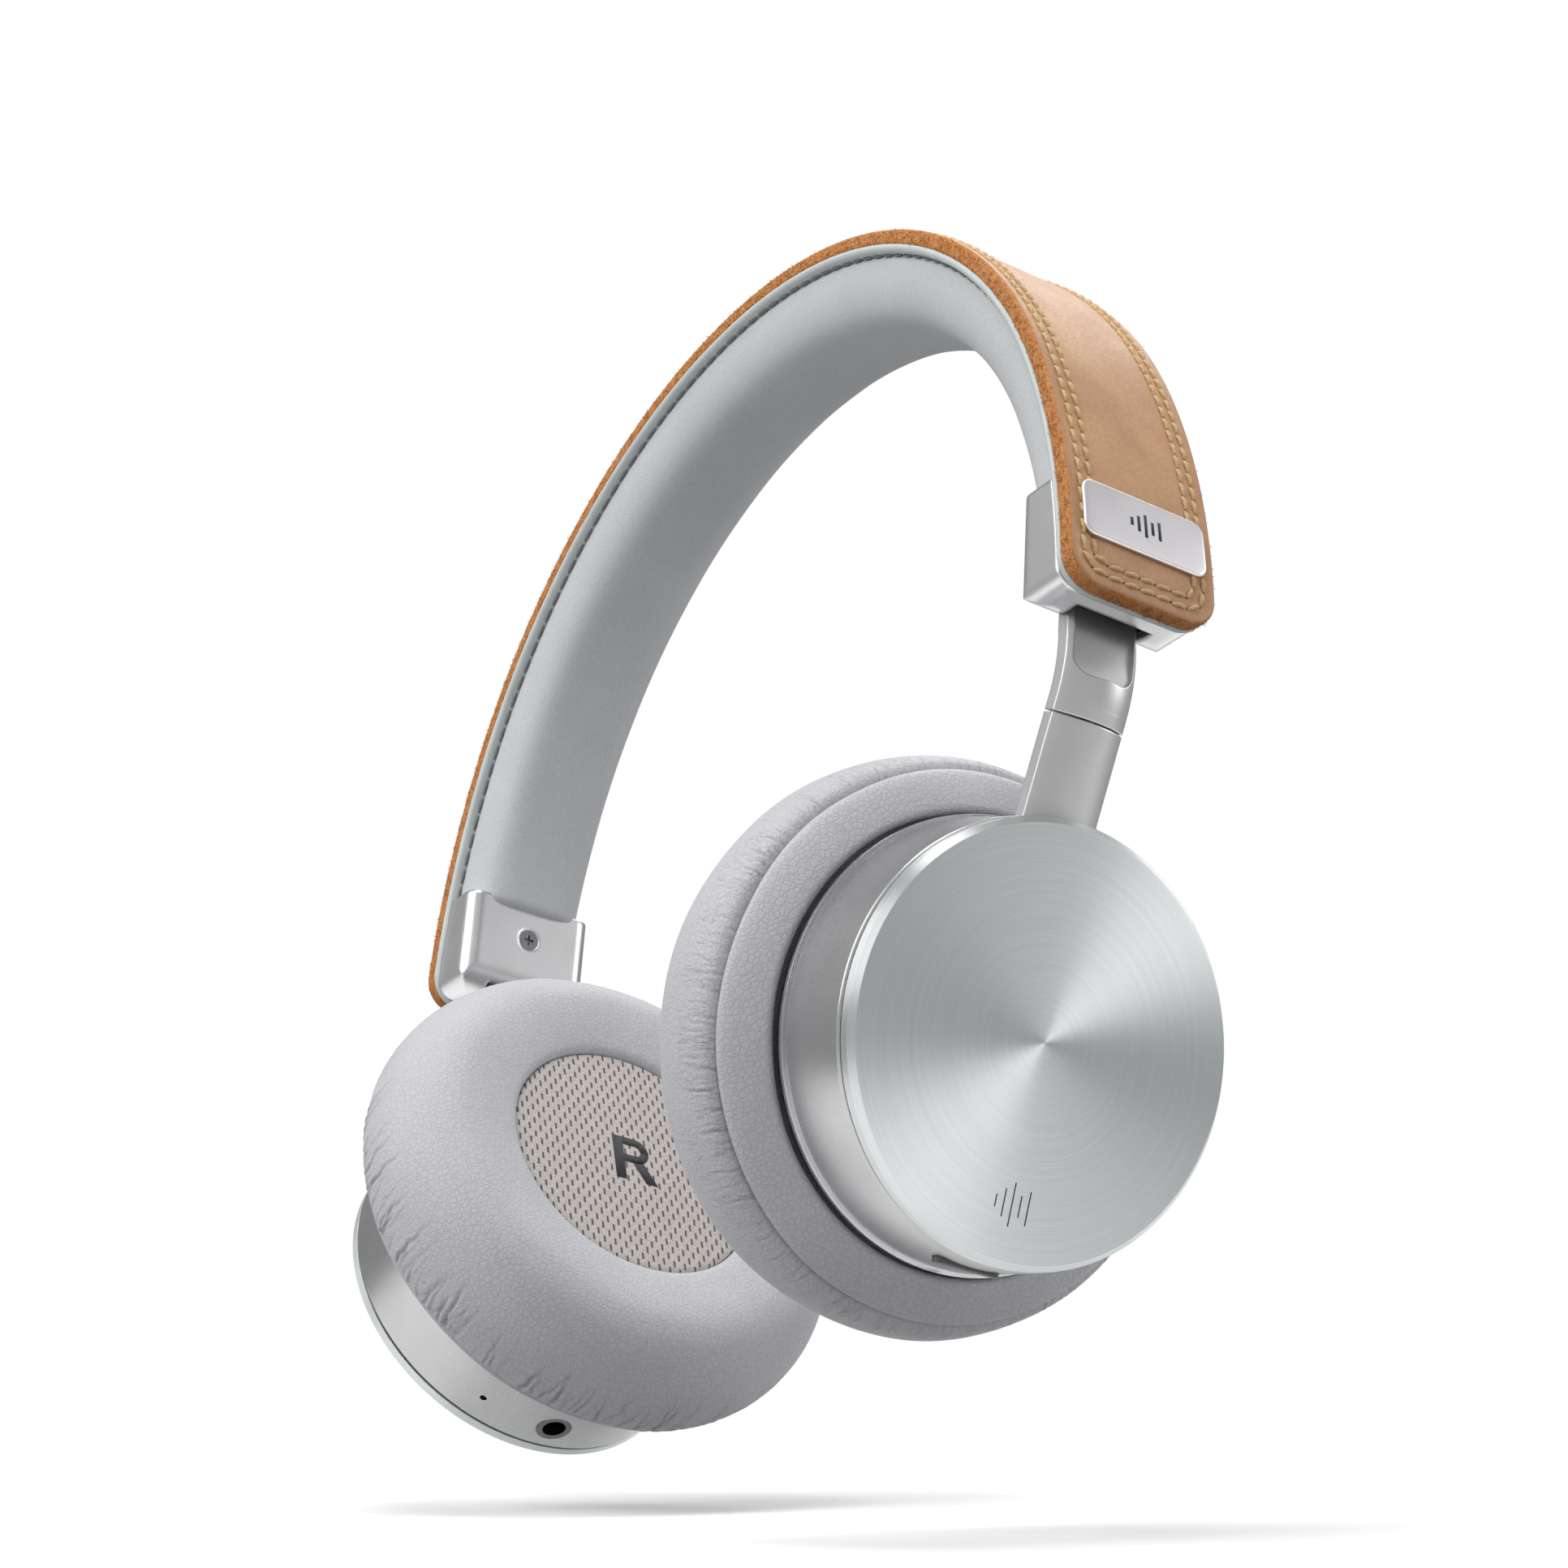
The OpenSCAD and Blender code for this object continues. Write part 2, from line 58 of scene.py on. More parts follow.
# Headband, in the part's own driving dimensions
CROWN_R = 89 * MM
SIDE_R = 106 * MM
CROWN_ANGLE = math.radians(66)
SIDE_ANGLE = math.radians(23)
STRAP_W = 24 * MM
STRAP_CORNER = 5 * MM
LEATHER_T = 2.4 * MM
CARRIER_T = 1.2 * MM
BAND_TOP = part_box("leather_strap")[1].z
CROWN_C = np.array([0, 0, BAND_TOP - CROWN_R])
CROWN_DIR = np.array([math.sin(CROWN_ANGLE), 0, math.cos(CROWN_ANGLE)])
SIDE_C = CROWN_C + (CROWN_R - SIDE_R) * CROWN_DIR
CROWN_LEN = CROWN_R * CROWN_ANGLE
BAND_LEN = CROWN_LEN + SIDE_R * SIDE_ANGLE

# Cups, in depths behind the disc's outer face
CUSHION_D = 40 * MM
MESH_D = 37.5 * MM
OPENING_R = 20.5 * MM
SEAM_R = 37.1 * MM


# ---- Places ----


class Cup:
    """Places on one cup: a radius, a depth behind the disc's outer face, and an angle from the top."""

    def __init__(self, side):
        mount = MOUNTS["ear_rest_" + side]
        self.body = "cup_" + side
        self.out = -np.array(mount["axis"], float)
        self.across = np.array([0.0, 1.0, 0.0])
        self.up = np.cross(self.out, self.across) * np.sign(self.out[0])
        self.centre = np.array(mount["pos_m"], float) + self.out * CUSHION_D

    def polar(self, radius, depth, angle):
        return self.flat(radius * np.sin(angle), radius * np.cos(angle), depth)

    def flat(self, across, up, depth):
        across, up, depth = np.broadcast_arrays(across, up, depth)
        return (
            self.centre
            + across[..., None] * self.across
            + up[..., None] * self.up
            - depth[..., None] * self.out
        )


def on_band(run, across, depth):
    """Places on the headband: a run along the leather's face from the crown, across it, and a depth in."""
    run, across, depth = np.broadcast_arrays(run, across, depth)
    side = np.sign(run)
    past = np.clip(np.abs(run) - CROWN_LEN, 0, None)
    angle = np.where(past > 0, CROWN_ANGLE + past / SIDE_R, np.abs(run) / CROWN_R)
    radius = np.where(past > 0, SIDE_R, CROWN_R) - depth
    centre_x = np.where(past > 0, SIDE_C[0], CROWN_C[0])
    centre_z = np.where(past > 0, SIDE_C[2], CROWN_C[2])
    x = side * (centre_x + radius * np.sin(angle))
    return np.stack([x, across, centre_z + radius * np.cos(angle)], -1)


# ---- Meshes ----


def smooth_line(points, step):
    """A Catmull-Rom curve through 2D points, sampled about every step."""
    p = np.array(points, float)
    p = np.vstack([2 * p[0] - p[1], p, 2 * p[-1] - p[-2]])
    out = []
    for i in range(1, len(p) - 2):
        count = max(1, round(np.linalg.norm(p[i + 1] - p[i]) / step))
        t = (np.arange(count) / count)[:, None]
        out.append(
            0.5
            * (
                2 * p[i]
                + (p[i + 1] - p[i - 1]) * t
                + (2 * p[i - 1] - 5 * p[i] + 4 * p[i + 1] - p[i + 2]) * t**2
                + (3 * p[i] - p[i - 1] - 3 * p[i + 1] + p[i + 2]) * t**3
            )
        )
    return np.vstack(out + [p[-2:-1]])


def grid_faces(nu, nv, wrap_u=False, wrap_v=False):
    """Faces between nu rows of nv points, which may close on themselves either way."""
    i, j = np.meshgrid(
        np.arange(nu if wrap_u else nu - 1),
        np.arange(nv if wrap_v else nv - 1),
        indexing="ij",
    )
    i2, j2 = (i + 1) % nu, (j + 1) % nv
    corners = [i * nv + j, i2 * nv + j, i2 * nv + j2, i * nv + j2]
    return np.stack(corners, -1).reshape(-1, 4)


def make(name, points, faces, material, body, slot, flat=None, values=None):
    """A smooth mesh from points and faces, merged where points meet, with faces outwards.
    flat is a UV for each point, and values a dict of one number for each point."""
    points = np.asarray(points, float).reshape(-1, 3)
    mesh = bpy.data.meshes.new(name)
    mesh.from_pydata(points.tolist(), [], [list(map(int, f)) for f in faces])
    if flat is not None:
        corner = np.zeros(len(mesh.loops), np.int32)
        mesh.loops.foreach_get("vertex_index", corner)
        layer = mesh.uv_layers.new(name="Flat")
        layer.data.foreach_set("uv", np.asarray(flat, np.float32).reshape(-1, 2)[corner].ravel())
    for key, value in (values or {}).items():
        attribute = mesh.attributes.new(key, "FLOAT", "POINT")
        attribute.data.foreach_set("value", np.asarray(value, np.float32).ravel())
    bm = bmesh.new()
    bm.from_mesh(mesh)
    bmesh.ops.remove_doubles(bm, verts=bm.verts, dist=1e-6)
    bmesh.ops.recalc_face_normals(bm, faces=bm.faces)
    bm.to_mesh(mesh)
    bm.free()
    mesh.polygons.foreach_set("use_smooth", np.ones(len(mesh.polygons), bool))
    mesh.materials.append(material)
    piece = bpy.data.objects.new(name, mesh)
    bpy.context.scene.collection.objects.link(piece)
    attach(piece, body)
    return piece


def join_parts(parts):
    """One list of points and one of faces from several."""
    points, faces, start = [], [], 0
    for p, f in parts:
        p = np.asarray(p, float).reshape(-1, 3)
        points.append(p)
        faces += [[start + k for k in face] for face in f]
        start += len(p)
    return np.vstack(points), faces


def rectangle(x0, x1, y0, y1):
    return [(x0, y0), (x1, y0), (x1, y1), (x0, y1)]


def level_bars(heights, pitch, half_w, middle=0.0):
    """Upright bars of a sound level, side by side: a rectangle for each height, in millimetres."""
    bars = []
    for k, height in enumerate(heights):
        x = (k - (len(heights) - 1) / 2) * pitch
        bars.append(rectangle(x - half_w, x + half_w, middle - height / 2, middle + height / 2))
    return bars


def plates(polygons, place, top, foot):
    """A thin plate over each polygon of four corners in millimetres, between two depths. place turns
    (x, y, depth) into points."""
    faces = [[0, 1, 2, 3], [7, 6, 5, 4], [0, 4, 5, 1], [1, 5, 6, 2], [2, 6, 7, 3], [3, 7, 4, 0]]
    parts = []
    for polygon in polygons:
        x, y = np.array(polygon).T * MM
        parts.append((np.vstack([place(x, y, top), place(x, y, foot)]), faces))
    return join_parts(parts)


# ---- Materials ----


def srgb(r, g, b):
    """A linear colour from display values of 0 to 255."""

    def linear(c):
        c /= 255
        return c / 12.92 if c <= 0.04045 else ((c + 0.055) / 1.055) ** 2.4

    return (linear(r), linear(g), linear(b), 1)


def shade(color, step=0, share=1.0):
    """A material's colour, a step lighter or darker, or a share of it."""
    return srgb(*[min(255, c * share + step) for c in color])


class Look:
    """A Principled material and short ways to add nodes to it."""

    def __init__(self, name, color=None, metallic=0.0, roughness=0.5, **constants):
        self.material = bpy.data.materials.new(name)
        self.material.use_nodes = True
        self.tree = self.material.node_tree
        self.shader = self.tree.nodes["Principled BSDF"]
        self.set(self.shader, "Metallic", metallic)
        self.set(self.shader, "Roughness", roughness)
        if color is not None:
            self.set(self.shader, "Base Color", color)
        for key, value in constants.items():
            self.set(self.shader, key.replace("_", " "), value)

    def set(self, node, key, value):
        socket = node.inputs[key]
        if isinstance(value, bpy.types.NodeSocket):
            self.tree.links.new(value, socket)
        else:
            socket.default_value = value

    def node(self, kind, inputs=(), **settings):
        n = self.tree.nodes.new("ShaderNode" + kind)
        for key, value in settings.items():
            setattr(n, key, value)
        for key, value in dict(inputs).items():
            self.set(n, key, value)
        return n

    def math(self, operation, a, b=0.0, c=0.0):
        n = self.node("Math", {0: a, 1: b, 2: c}, operation=operation)
        return n.outputs[0]

    def vector(self, operation, a, b=(0, 0, 0)):
        n = self.node("VectorMath", {0: a, 1: b}, operation=operation)
        return n.outputs["Value" if operation in ("LENGTH", "DOT_PRODUCT") else 0]

    def place(self):
        return self.node("TexCoord").outputs["Object"]

    def flat(self):
        return self.node("UVMap", uv_map="Flat").outputs[0]

    def value(self, name):
        return self.node("Attribute", attribute_name=name).outputs["Fac"]

    def stretched(self, vector, scale):
        return self.node("Mapping", {"Vector": vector, "Scale": scale}).outputs[0]

    def noise(self, size, detail=2.0, vector=None, rough=0.5):
        vector = vector or self.place()
        inputs = {"Vector": vector, "Scale": 1 / size, "Detail": detail, "Roughness": rough}
        return self.node("TexNoise", inputs).outputs[0]

    def cells(self, size, feature="F1", vector=None):
        inputs = {"Vector": vector or self.place(), "Scale": 1 / size}
        return self.node("TexVoronoi", inputs, feature=feature).outputs["Distance"]

    def map(self, value, low, high, to_low=0.0, to_high=1.0):
        """A smooth step from to_low to to_high as the value goes from low to high."""
        inputs = {"Value": value, 1: low, 2: high, 3: to_low, 4: to_high}
        return self.node("MapRange", inputs, interpolation_type="SMOOTHSTEP").outputs[0]

    def mix(self, factor, a, b, blend="MIX"):
        n = self.node("Mix", data_type="RGBA", blend_type=blend)
        self.set(n, 0, factor)
        self.set(n, 6, a)
        self.set(n, 7, b)
        return n.outputs[2]

    def bump(self, height, distance, strength=1.0, normal=None):
        inputs = {"Height": height, "Distance": distance, "Strength": strength}
        n = self.node("Bump", inputs)
        if normal is not None:
            self.set(n, "Normal", normal)
        self.set(self.shader, "Normal", n.outputs[0])
        return n.outputs[0]


def blasted_metal(name, color, roughness=0.34, grain=0.16 * MM, edge=0.3 * MM):
    """Bead-blasted and anodised aluminium, with softly broken edges."""
    look = Look(name, metallic=1.0)
    tint = look.noise(9 * MM, 3)
    base = look.mix(look.map(tint, 0.3, 0.7), shade(color, -5), shade(color))
    look.set(look.shader, "Base Color", base)
    fine = look.noise(grain, 2)
    smudge = look.noise(14 * MM, 4)
    rough = look.math("MULTIPLY_ADD", fine, 0.08, roughness - 0.04)
    rough = look.math("MULTIPLY_ADD", look.map(smudge, 0.35, 0.75), 0.05, rough)
    look.set(look.shader, "Roughness", rough)
    rounded = look.node("Bevel", {"Radius": edge}, samples=8).outputs[0]
    look.bump(fine, 0.004 * MM, 0.5, rounded)
    return look.material


def spun_metal(name, cup, color):
    """Aluminium spun about the cup's axis: reflections stretch along the radius."""
    look = Look(name, metallic=1.0, Anisotropic=0.9)
    arm = look.vector("SUBTRACT", look.place(), tuple(cup.centre))
    flat_arm = look.vector("PROJECT", arm, tuple(cup.out))
    radial = look.vector("SUBTRACT", arm, flat_arm)
    radius = look.vector("LENGTH", radial)
    unit = look.vector("NORMALIZE", radial)
    leant = look.vector("ADD", unit, tuple(cup.out * 0.05))
    way = look.node("VectorTransform", {"Vector": leant}, vector_type="VECTOR")
    way.convert_from = "OBJECT"
    way.convert_to = "WORLD"
    look.set(look.shader, "Tangent", look.vector("NORMALIZE", way.outputs[0]))
    turn = look.vector("SCALE", unit)
    turn.node.inputs["Scale"].default_value = 0.7

    def rings(pitch):
        out = look.node("CombineXYZ", {0: look.math("MULTIPLY", radius, 1 / pitch)})
        return look.noise(1.0, 2.0, look.vector("ADD", out.outputs[0], turn))

    fine = rings(0.11 * MM)
    wide = rings(0.9 * MM)
    tone = look.math("MULTIPLY_ADD", wide, 0.15, look.math("MULTIPLY", fine, 0.85))
    base = look.mix(look.map(tone, 0.3, 0.7), shade(color, -9), shade(color))
    look.set(look.shader, "Base Color", base)
    look.set(look.shader, "Roughness", look.map(fine, 0.2, 0.8, 0.36, 0.42))
    rounded = look.node("Bevel", {"Radius": 0.08 * MM}, samples=4).outputs[0]
    look.bump(fine, 0.004 * MM, 0.3, rounded)
    return look.material


def polished_metal(name, color, roughness=0.16):
    """Smooth bright metal with faint swirls."""
    look = Look(name, metallic=1.0)
    swirl = look.noise(2.5 * MM, 4)
    look.set(look.shader, "Base Color", look.mix(swirl, shade(color, -8), shade(color)))
    rough = look.map(swirl, 0.2, 0.8, roughness - 0.03, roughness + 0.05)
    look.set(look.shader, "Roughness", rough)
    rounded = look.node("Bevel", {"Radius": 0.1 * MM}, samples=4).outputs[0]
    look.bump(look.noise(0.3 * MM, 2), 0.004 * MM, 0.4, rounded)
    return look.material


def moulded_plastic(name, color, roughness=0.5, grain=0.25 * MM):
    """Plastic or rubber with a fine moulded grain."""
    look = Look(name)
    wide = look.noise(6 * MM, 3)
    look.set(look.shader, "Base Color", look.mix(wide, shade(color, share=0.88), shade(color)))
    fine = look.noise(grain, 3)
    rough = look.map(fine, 0.3, 0.7, roughness - 0.05, roughness + 0.07)
    look.set(look.shader, "Roughness", rough)
    look.bump(fine, 0.02 * MM, 0.5)
    return look.material


def leatherette(name, color, cell=0.75 * MM, depth=0.06 * MM, creased=False):
    """Soft grey leatherette with a pebbled grain, and with fine creases where the piece says so."""
    look = Look(name, Specular_IOR_Level=0.32, Sheen_Weight=0.12, Sheen_Roughness=0.45)
    bend = look.noise(1.6 * MM, 3)
    shift = look.node("CombineXYZ", {0: look.math("MULTIPLY", bend, 0.9 * MM)}).outputs[0]
    warp = look.vector("ADD", look.place(), shift)
    pebble = look.map(look.cells(cell, "DISTANCE_TO_EDGE", warp), 0.0, 0.16)
    fine = look.noise(0.2 * MM, 3)
    height = look.math("MULTIPLY_ADD", fine, 0.25, pebble)
    tone = look.noise(16 * MM, 3)
    base = look.mix(look.map(tone, 0.3, 0.7), shade(color), shade(color, 4))
    # painted shade: the clefts between the pebbles are painted a little darker
    cleft_shade = look.mix(1.0, base, (0.9, 0.9, 0.91, 1), "MULTIPLY")
    base = look.mix(pebble, cleft_shade, base)
    normal = look.bump(height, depth, 0.6)
    if creased:
        mask = look.math("MULTIPLY", look.value("crease"), look.map(look.noise(2.4 * MM, 2), 0.45, 0.6))
        run = look.stretched(look.flat(), (1 / (1.5 * MM), 1 / (8 * MM), 1))
        waves = look.node("TexNoise", {"Vector": run, "Scale": 1.0, "Detail": 2.0, "Distortion": 0.6})
        ridge = look.math("ABSOLUTE", look.math("SUBTRACT", waves.outputs[0], 0.5))
        ridge = look.math("MULTIPLY", look.map(ridge, 0.0, 0.022, 1.0, 0.0), mask)
        look.bump(ridge, -0.06 * MM, 0.8, normal)
        # painted shade: the fine crease lines are painted darker
        base = look.mix(look.math("MULTIPLY", ridge, 0.28), base, srgb(122, 122, 130))
        # painted shade: the cushion's creases and seam are painted darker by its groove attribute
        base = look.mix(look.math("MULTIPLY", look.value("groove"), 0.5), base, srgb(112, 112, 120))
    look.set(look.shader, "Base Color", base)
    look.set(look.shader, "Roughness", look.map(fine, 0.3, 0.7, 0.5, 0.62))
    return look.material


def tan_leather(name):
    """Smooth vegetable-tanned leather with mottled tone, darker along its edges."""
    look = Look(name, Specular_IOR_Level=0.5)
    cloud = look.noise(13 * MM, 4)
    fleck = look.noise(0.55 * MM, 4, rough=0.65)
    base = look.mix(look.map(cloud, 0.32, 0.7), srgb(186, 139, 100), srgb(207, 163, 122))
    base = look.mix(look.map(fleck, 0.35, 0.75, 0, 0.4), base, srgb(172, 122, 82))
    edge = look.value("edge")
    base = look.mix(look.math("MULTIPLY", edge, 0.6), base, srgb(168, 116, 82))
    scratch = look.stretched(look.place(), (1 / (0.5 * MM), 1 / (7 * MM), 1 / (0.5 * MM)))
    pores = look.cells(0.42 * MM, "F1")
    look.set(look.shader, "Base Color", base)
    look.set(look.shader, "Roughness", look.map(fleck, 0.3, 0.7, 0.42, 0.58))
    wear = look.noise(1.0, 4.0, scratch)
    height = look.math("MULTIPLY_ADD", wear, 0.5, pores)
    look.bump(height, 0.025 * MM, 0.5)
    return look.material


def raw_edge(name):
    """The strap's cut edge: loose orange-brown fibres."""
    look = Look(name, Specular_IOR_Level=0.1, roughness=0.95)
    strand = look.noise(0.28 * MM, 5, rough=0.75)
    clump = look.noise(1.3 * MM, 3)
    base = look.mix(look.map(strand, 0.32, 0.66), srgb(150, 84, 38), srgb(230, 160, 96))
    base = look.mix(look.map(clump, 0.35, 0.7, 0, 0.35), base, srgb(222, 176, 130))
    look.set(look.shader, "Base Color", base)
    look.bump(look.math("ADD", strand, clump), 0.28 * MM, 0.9)
    return look.material


def thread(name, color):
    """Twisted thread, painted darker between its plies as painted shade."""
    look = Look(name, Specular_IOR_Level=0.25, roughness=0.7)
    ply = look.noise(0.16 * MM, 3)
    # painted shade: darker where the plies' bump is low
    base = look.mix(look.map(ply, 0.3, 0.7), shade(color, share=0.78), shade(color))
    look.set(look.shader, "Base Color", base)
    look.bump(ply, 0.05 * MM, 0.8)
    return look.material


def mesh_cloth(name):
    """Beige knitted mesh with staggered slots. It reads the piece's flat coordinates."""
    column, row = 0.92 * MM, 2.6 * MM
    slot_w, slot_l = 0.17 * MM, 0.62 * MM
    look = Look(name, Specular_IOR_Level=0.15, roughness=0.9)
    wobble = look.noise(1.1 * MM, 2)
    split = look.node("SeparateXYZ", {0: look.flat()})
    u = look.math("MULTIPLY_ADD", wobble, 0.16, look.math("DIVIDE", split.outputs[0], column))
    odd = look.math("MULTIPLY", look.math("MODULO", look.math("FLOOR", u), 2.0), 0.5)
    odd = look.math("ABSOLUTE", odd)
    v = look.math("ADD", look.math("DIVIDE", split.outputs[1], row), odd)
    dx = look.math("ABSOLUTE", look.math("SUBTRACT", look.math("FRACT", u), 0.5))
    dy = look.math("ABSOLUTE", look.math("SUBTRACT", look.math("FRACT", v), 0.5))
    x_in = look.map(dx, slot_w / column * 0.7, slot_w / column * 1.25, 1, 0)
    y_in = look.map(dy, slot_l / row * 0.75, slot_l / row * 1.1, 1, 0)
    hole = look.math("MULTIPLY", x_in, y_in)
    yarn = look.noise(0.3 * MM, 4, rough=0.7)
    warm = look.noise(5 * MM, 2)
    base = look.mix(look.map(yarn, 0.32, 0.68), srgb(178, 171, 168), srgb(212, 206, 202))
    base = look.mix(look.map(warm, 0.4, 0.7, 0, 0.3), base, srgb(204, 193, 187))
    look.set(look.shader, "Base Color", look.mix(hole, base, srgb(104, 97, 95)))
    height = look.math("SUBTRACT", look.math("MULTIPLY", yarn, 0.35), hole)
    look.bump(height, 0.16 * MM, 0.8)
    return look.material


LOOKS = {
    "arm": blasted_metal("arm_aluminium", (204, 204, 204), 0.4),
    "cap": blasted_metal("cap_aluminium", (218, 218, 219), 0.3, edge=0.9 * MM),
    "cup": blasted_metal("cup_aluminium", (189, 189, 190), 0.27),
    "trim": polished_metal("trim_aluminium", (226, 226, 228)),
    "steel": polished_metal("pin_steel", (150, 150, 154), 0.24),
    "badge": blasted_metal("badge_aluminium", (236, 233, 236), 0.36, 0.1 * MM, 0.12 * MM),
    "liner": moulded_plastic("liner_plastic", (22, 22, 23), 0.5),
    "inner": moulded_plastic("inner_plastic", (40, 40, 42), 0.55),
    "key": moulded_plastic("key_plastic", (88, 88, 90), 0.38),
    "carrier": moulded_plastic("carrier_rubber", (206, 213, 211), 0.55, 0.35 * MM),
    "leather": tan_leather("strap_leather"),
    "raw": raw_edge("strap_raw_edge"),
    "tan_thread": thread("tan_thread", (236, 200, 150)),
    # painted shade: dark plugs in the stitch holes
    "hole": moulded_plastic("painted_hole_shade", (74, 44, 24), 0.9),
    "padding": leatherette("padding_leatherette", (194, 196, 198), 0.55 * MM, 0.03 * MM),
    "cushion": leatherette("cushion_leatherette", (192, 192, 196), 0.85 * MM, 0.06 * MM, True),
    "grey_thread": thread("grey_thread", (128, 131, 136)),
    "mesh": mesh_cloth("ear_mesh_cloth"),
    "print": moulded_plastic("dark_print", (56, 58, 60), 0.75),
    "jack": polished_metal("jack_metal", (120, 120, 122), 0.3),
    "board": moulded_plastic("circuit_board", (30, 92, 58), 0.4),
    "film": moulded_plastic("driver_film", (214, 206, 168), 0.35),
    "wrap": moulded_plastic("battery_wrap", (88, 120, 170), 0.4),
}
CUPS = {side: Cup(side) for side in SIDES}


def paint(look, *names):
    """Gives CAD nodes a look by its name, or a material."""
    for name in names:
        for material_slot in NODES[name].material_slots:
            material_slot.material = LOOKS[look] if isinstance(look, str) else look


def paint_cad_nodes():
    """Better materials for the CAD nodes that stay in view, and for those inside."""
    paint("liner", "slide_liner_l", "slide_liner_r")
    paint("steel", "spring_band", "detent_springs", "cap_screws")
    paint("wrap", "battery")
    paint("board", "charge_board", "main_board")
    paint("steel", "charge_socket", "microphone")
    paint("key", "control_key")
    paint("inner", "key_switch", "jack_socket")
    paint("jack", "jack_ring")
    for s in SIDES:
        paint("cap", "end_cap_" + s)
        paint("arm", "upper_arm_" + s, "lower_arm_" + s)
        paint("cup", "cup_shell_" + s)
        paint(spun_metal("spun_disc_" + s, CUPS[s], (217, 221, 221)), "outer_disc_" + s)
        paint("trim", "trim_ring_" + s)
        paint("steel", "swivel_pin_" + s, "tilt_bracket_" + s, "tilt_pin_" + s)
        paint("steel", "bracket_screws_" + s, "driver_magnet_" + s)
        paint("film", "diaphragm_" + s)
        paint("inner", "baffle_" + s, "driver_frame_" + s, "cushion_plate_" + s, "foam_disc_" + s)


# ---- Headband ----

STITCH_ROWS = (2.1 * MM, 3.8 * MM)
STITCH_PITCH = 2.6 * MM
STITCH_R = 0.31 * MM
FIBRES = 6500
EDGE_WEAR = 1.2 * MM
CAP_ANGLE = math.radians(9.95)
PADDING_REACH = BAND_LEN - SIDE_R * CAP_ANGLE
PADDING_D = 13.4
PADDING_THINNING = 1.5


def outline(half_run, half_w, corner, step):
    """A rounded rectangle round the middle: for each point, its place at no inset, and the way that
    it moves per metre of inset."""
    places, ways = [], []
    for sx, sy in ((1, 1), (-1, 1), (-1, -1), (1, -1)):
        centre = np.array([sx * (half_run - corner), sy * (half_w - corner)])
        turn = math.atan2(sy, sx) - math.pi / 4
        for k in range(9):
            a = turn + k / 8 * math.pi / 2
            way = np.array([math.cos(a), math.sin(a)])
            places.append(centre + corner * way)
            ways.append(-way)
    places, ways = np.array(places), np.array(ways)
    out_p, out_w = [], []
    for i in range(len(places)):
        j = (i + 1) % len(places)
        gap = np.linalg.norm(places[j] - places[i])
        count = max(1, round(gap / step)) if gap > corner * 0.5 else 1
        for k in range(count):
            out_p.append(places[i] + (places[j] - places[i]) * k / count)
            out_w.append(ways[i])
    return np.array(out_p), np.array(out_w)


def roughen(flat, depth, way, first, last, height):
    """Moves the rings from first to last in and out, as a torn edge."""
    for i in range(len(flat)):
        for k in range(first, last):
            spot = Vector((*flat[i, k], depth[i, k]))
            n = noise.noise(spot / (0.45 * MM)) + 0.6 * noise.noise(spot / (0.2 * MM))
            flat[i, k] -= way[i] * n * height
            depth[i, k] += 0.4 * n * height


def slab(name, half_run, half_w, corner, step, profile, place, material, slot, rough=None):
    """A rounded rectangle laid on the headband. profile is (inset, depth) pairs from under the slab's
    middle, round its edge and over it; its first and last pairs have the same inset, the corner's
    radius. place turns (run, across, depth) into points. rough is (first, last, height) for roughen."""
    edge, way = outline(half_run, half_w, corner, step)
    profile = np.array(profile)
    flat = edge[:, None, :] + way[:, None, :] * profile[None, :, :1]
    depth = np.broadcast_to(profile[None, :, 1], flat.shape[:2]).copy()
    if rough:
        roughen(flat, depth, way, *rough)
    count, rings = depth.shape
    points = [place(flat[..., 0], flat[..., 1], depth).reshape(-1, 3)]
    faces = [grid_faces(count, rings, wrap_u=True)]
    # the two flat middles, as grids between the long edges
    runs = np.unique(np.round(flat[:, 0, 0], 7))
    acrosses = np.unique(np.round(flat[:, 0, 1], 7))
    grid_r, grid_a = np.meshgrid(runs, acrosses, indexing="ij")
    for row, ring in enumerate((0, rings - 1)):
        middle = place(grid_r, grid_a, np.full_like(grid_r, profile[ring, 1]))
        points.append(middle.reshape(-1, 3))
        faces.append(grid_faces(*grid_r.shape) + count * rings + row * grid_r.size)
    inset = np.append(np.tile(profile[:, 0], count), np.full(2 * grid_r.size, corner))
    near_edge = np.clip(1 - inset / EDGE_WEAR, 0, 1)
    points, faces = np.vstack(points), np.vstack(faces)
    return make(name, points, faces, material, "headband", slot, values={"edge": near_edge})


def make_fibres():
    """Loose fibres on the strap's cut edge."""
    edge, way = outline(BAND_LEN, STRAP_W / 2, STRAP_CORNER, 0.4 * MM)
    spot = rng.integers(0, len(edge), FIBRES)
    blend = rng.random(FIBRES)
    parts = []
    for i, k in zip(spot, blend):
        j = (i + 1) % len(edge)
        foot = edge[i] + (edge[j] - edge[i]) * k + way[i] * 0.12 * MM
        depth = rng.uniform(0.5, 2.3) * MM
        out = -way[i] * rng.uniform(0.18, 0.55) * MM
        along = np.array([-way[i][1], way[i][0]]) * rng.normal(0, 0.28) * MM
        drop = rng.normal(0, 0.2) * MM
        t = np.array([0, 0.5, 1.0])
        flat = foot + out * t[:, None] + along * (t**2)[:, None]
        line = on_band(flat[:, 0], flat[:, 1], depth + drop * t)
        parts.append(tube(line, np.array([0.055, 0.045, 0.02]) * MM, 3))
    make("strap_fibres", *join_parts(parts), LOOKS["raw"], "headband", "leather")


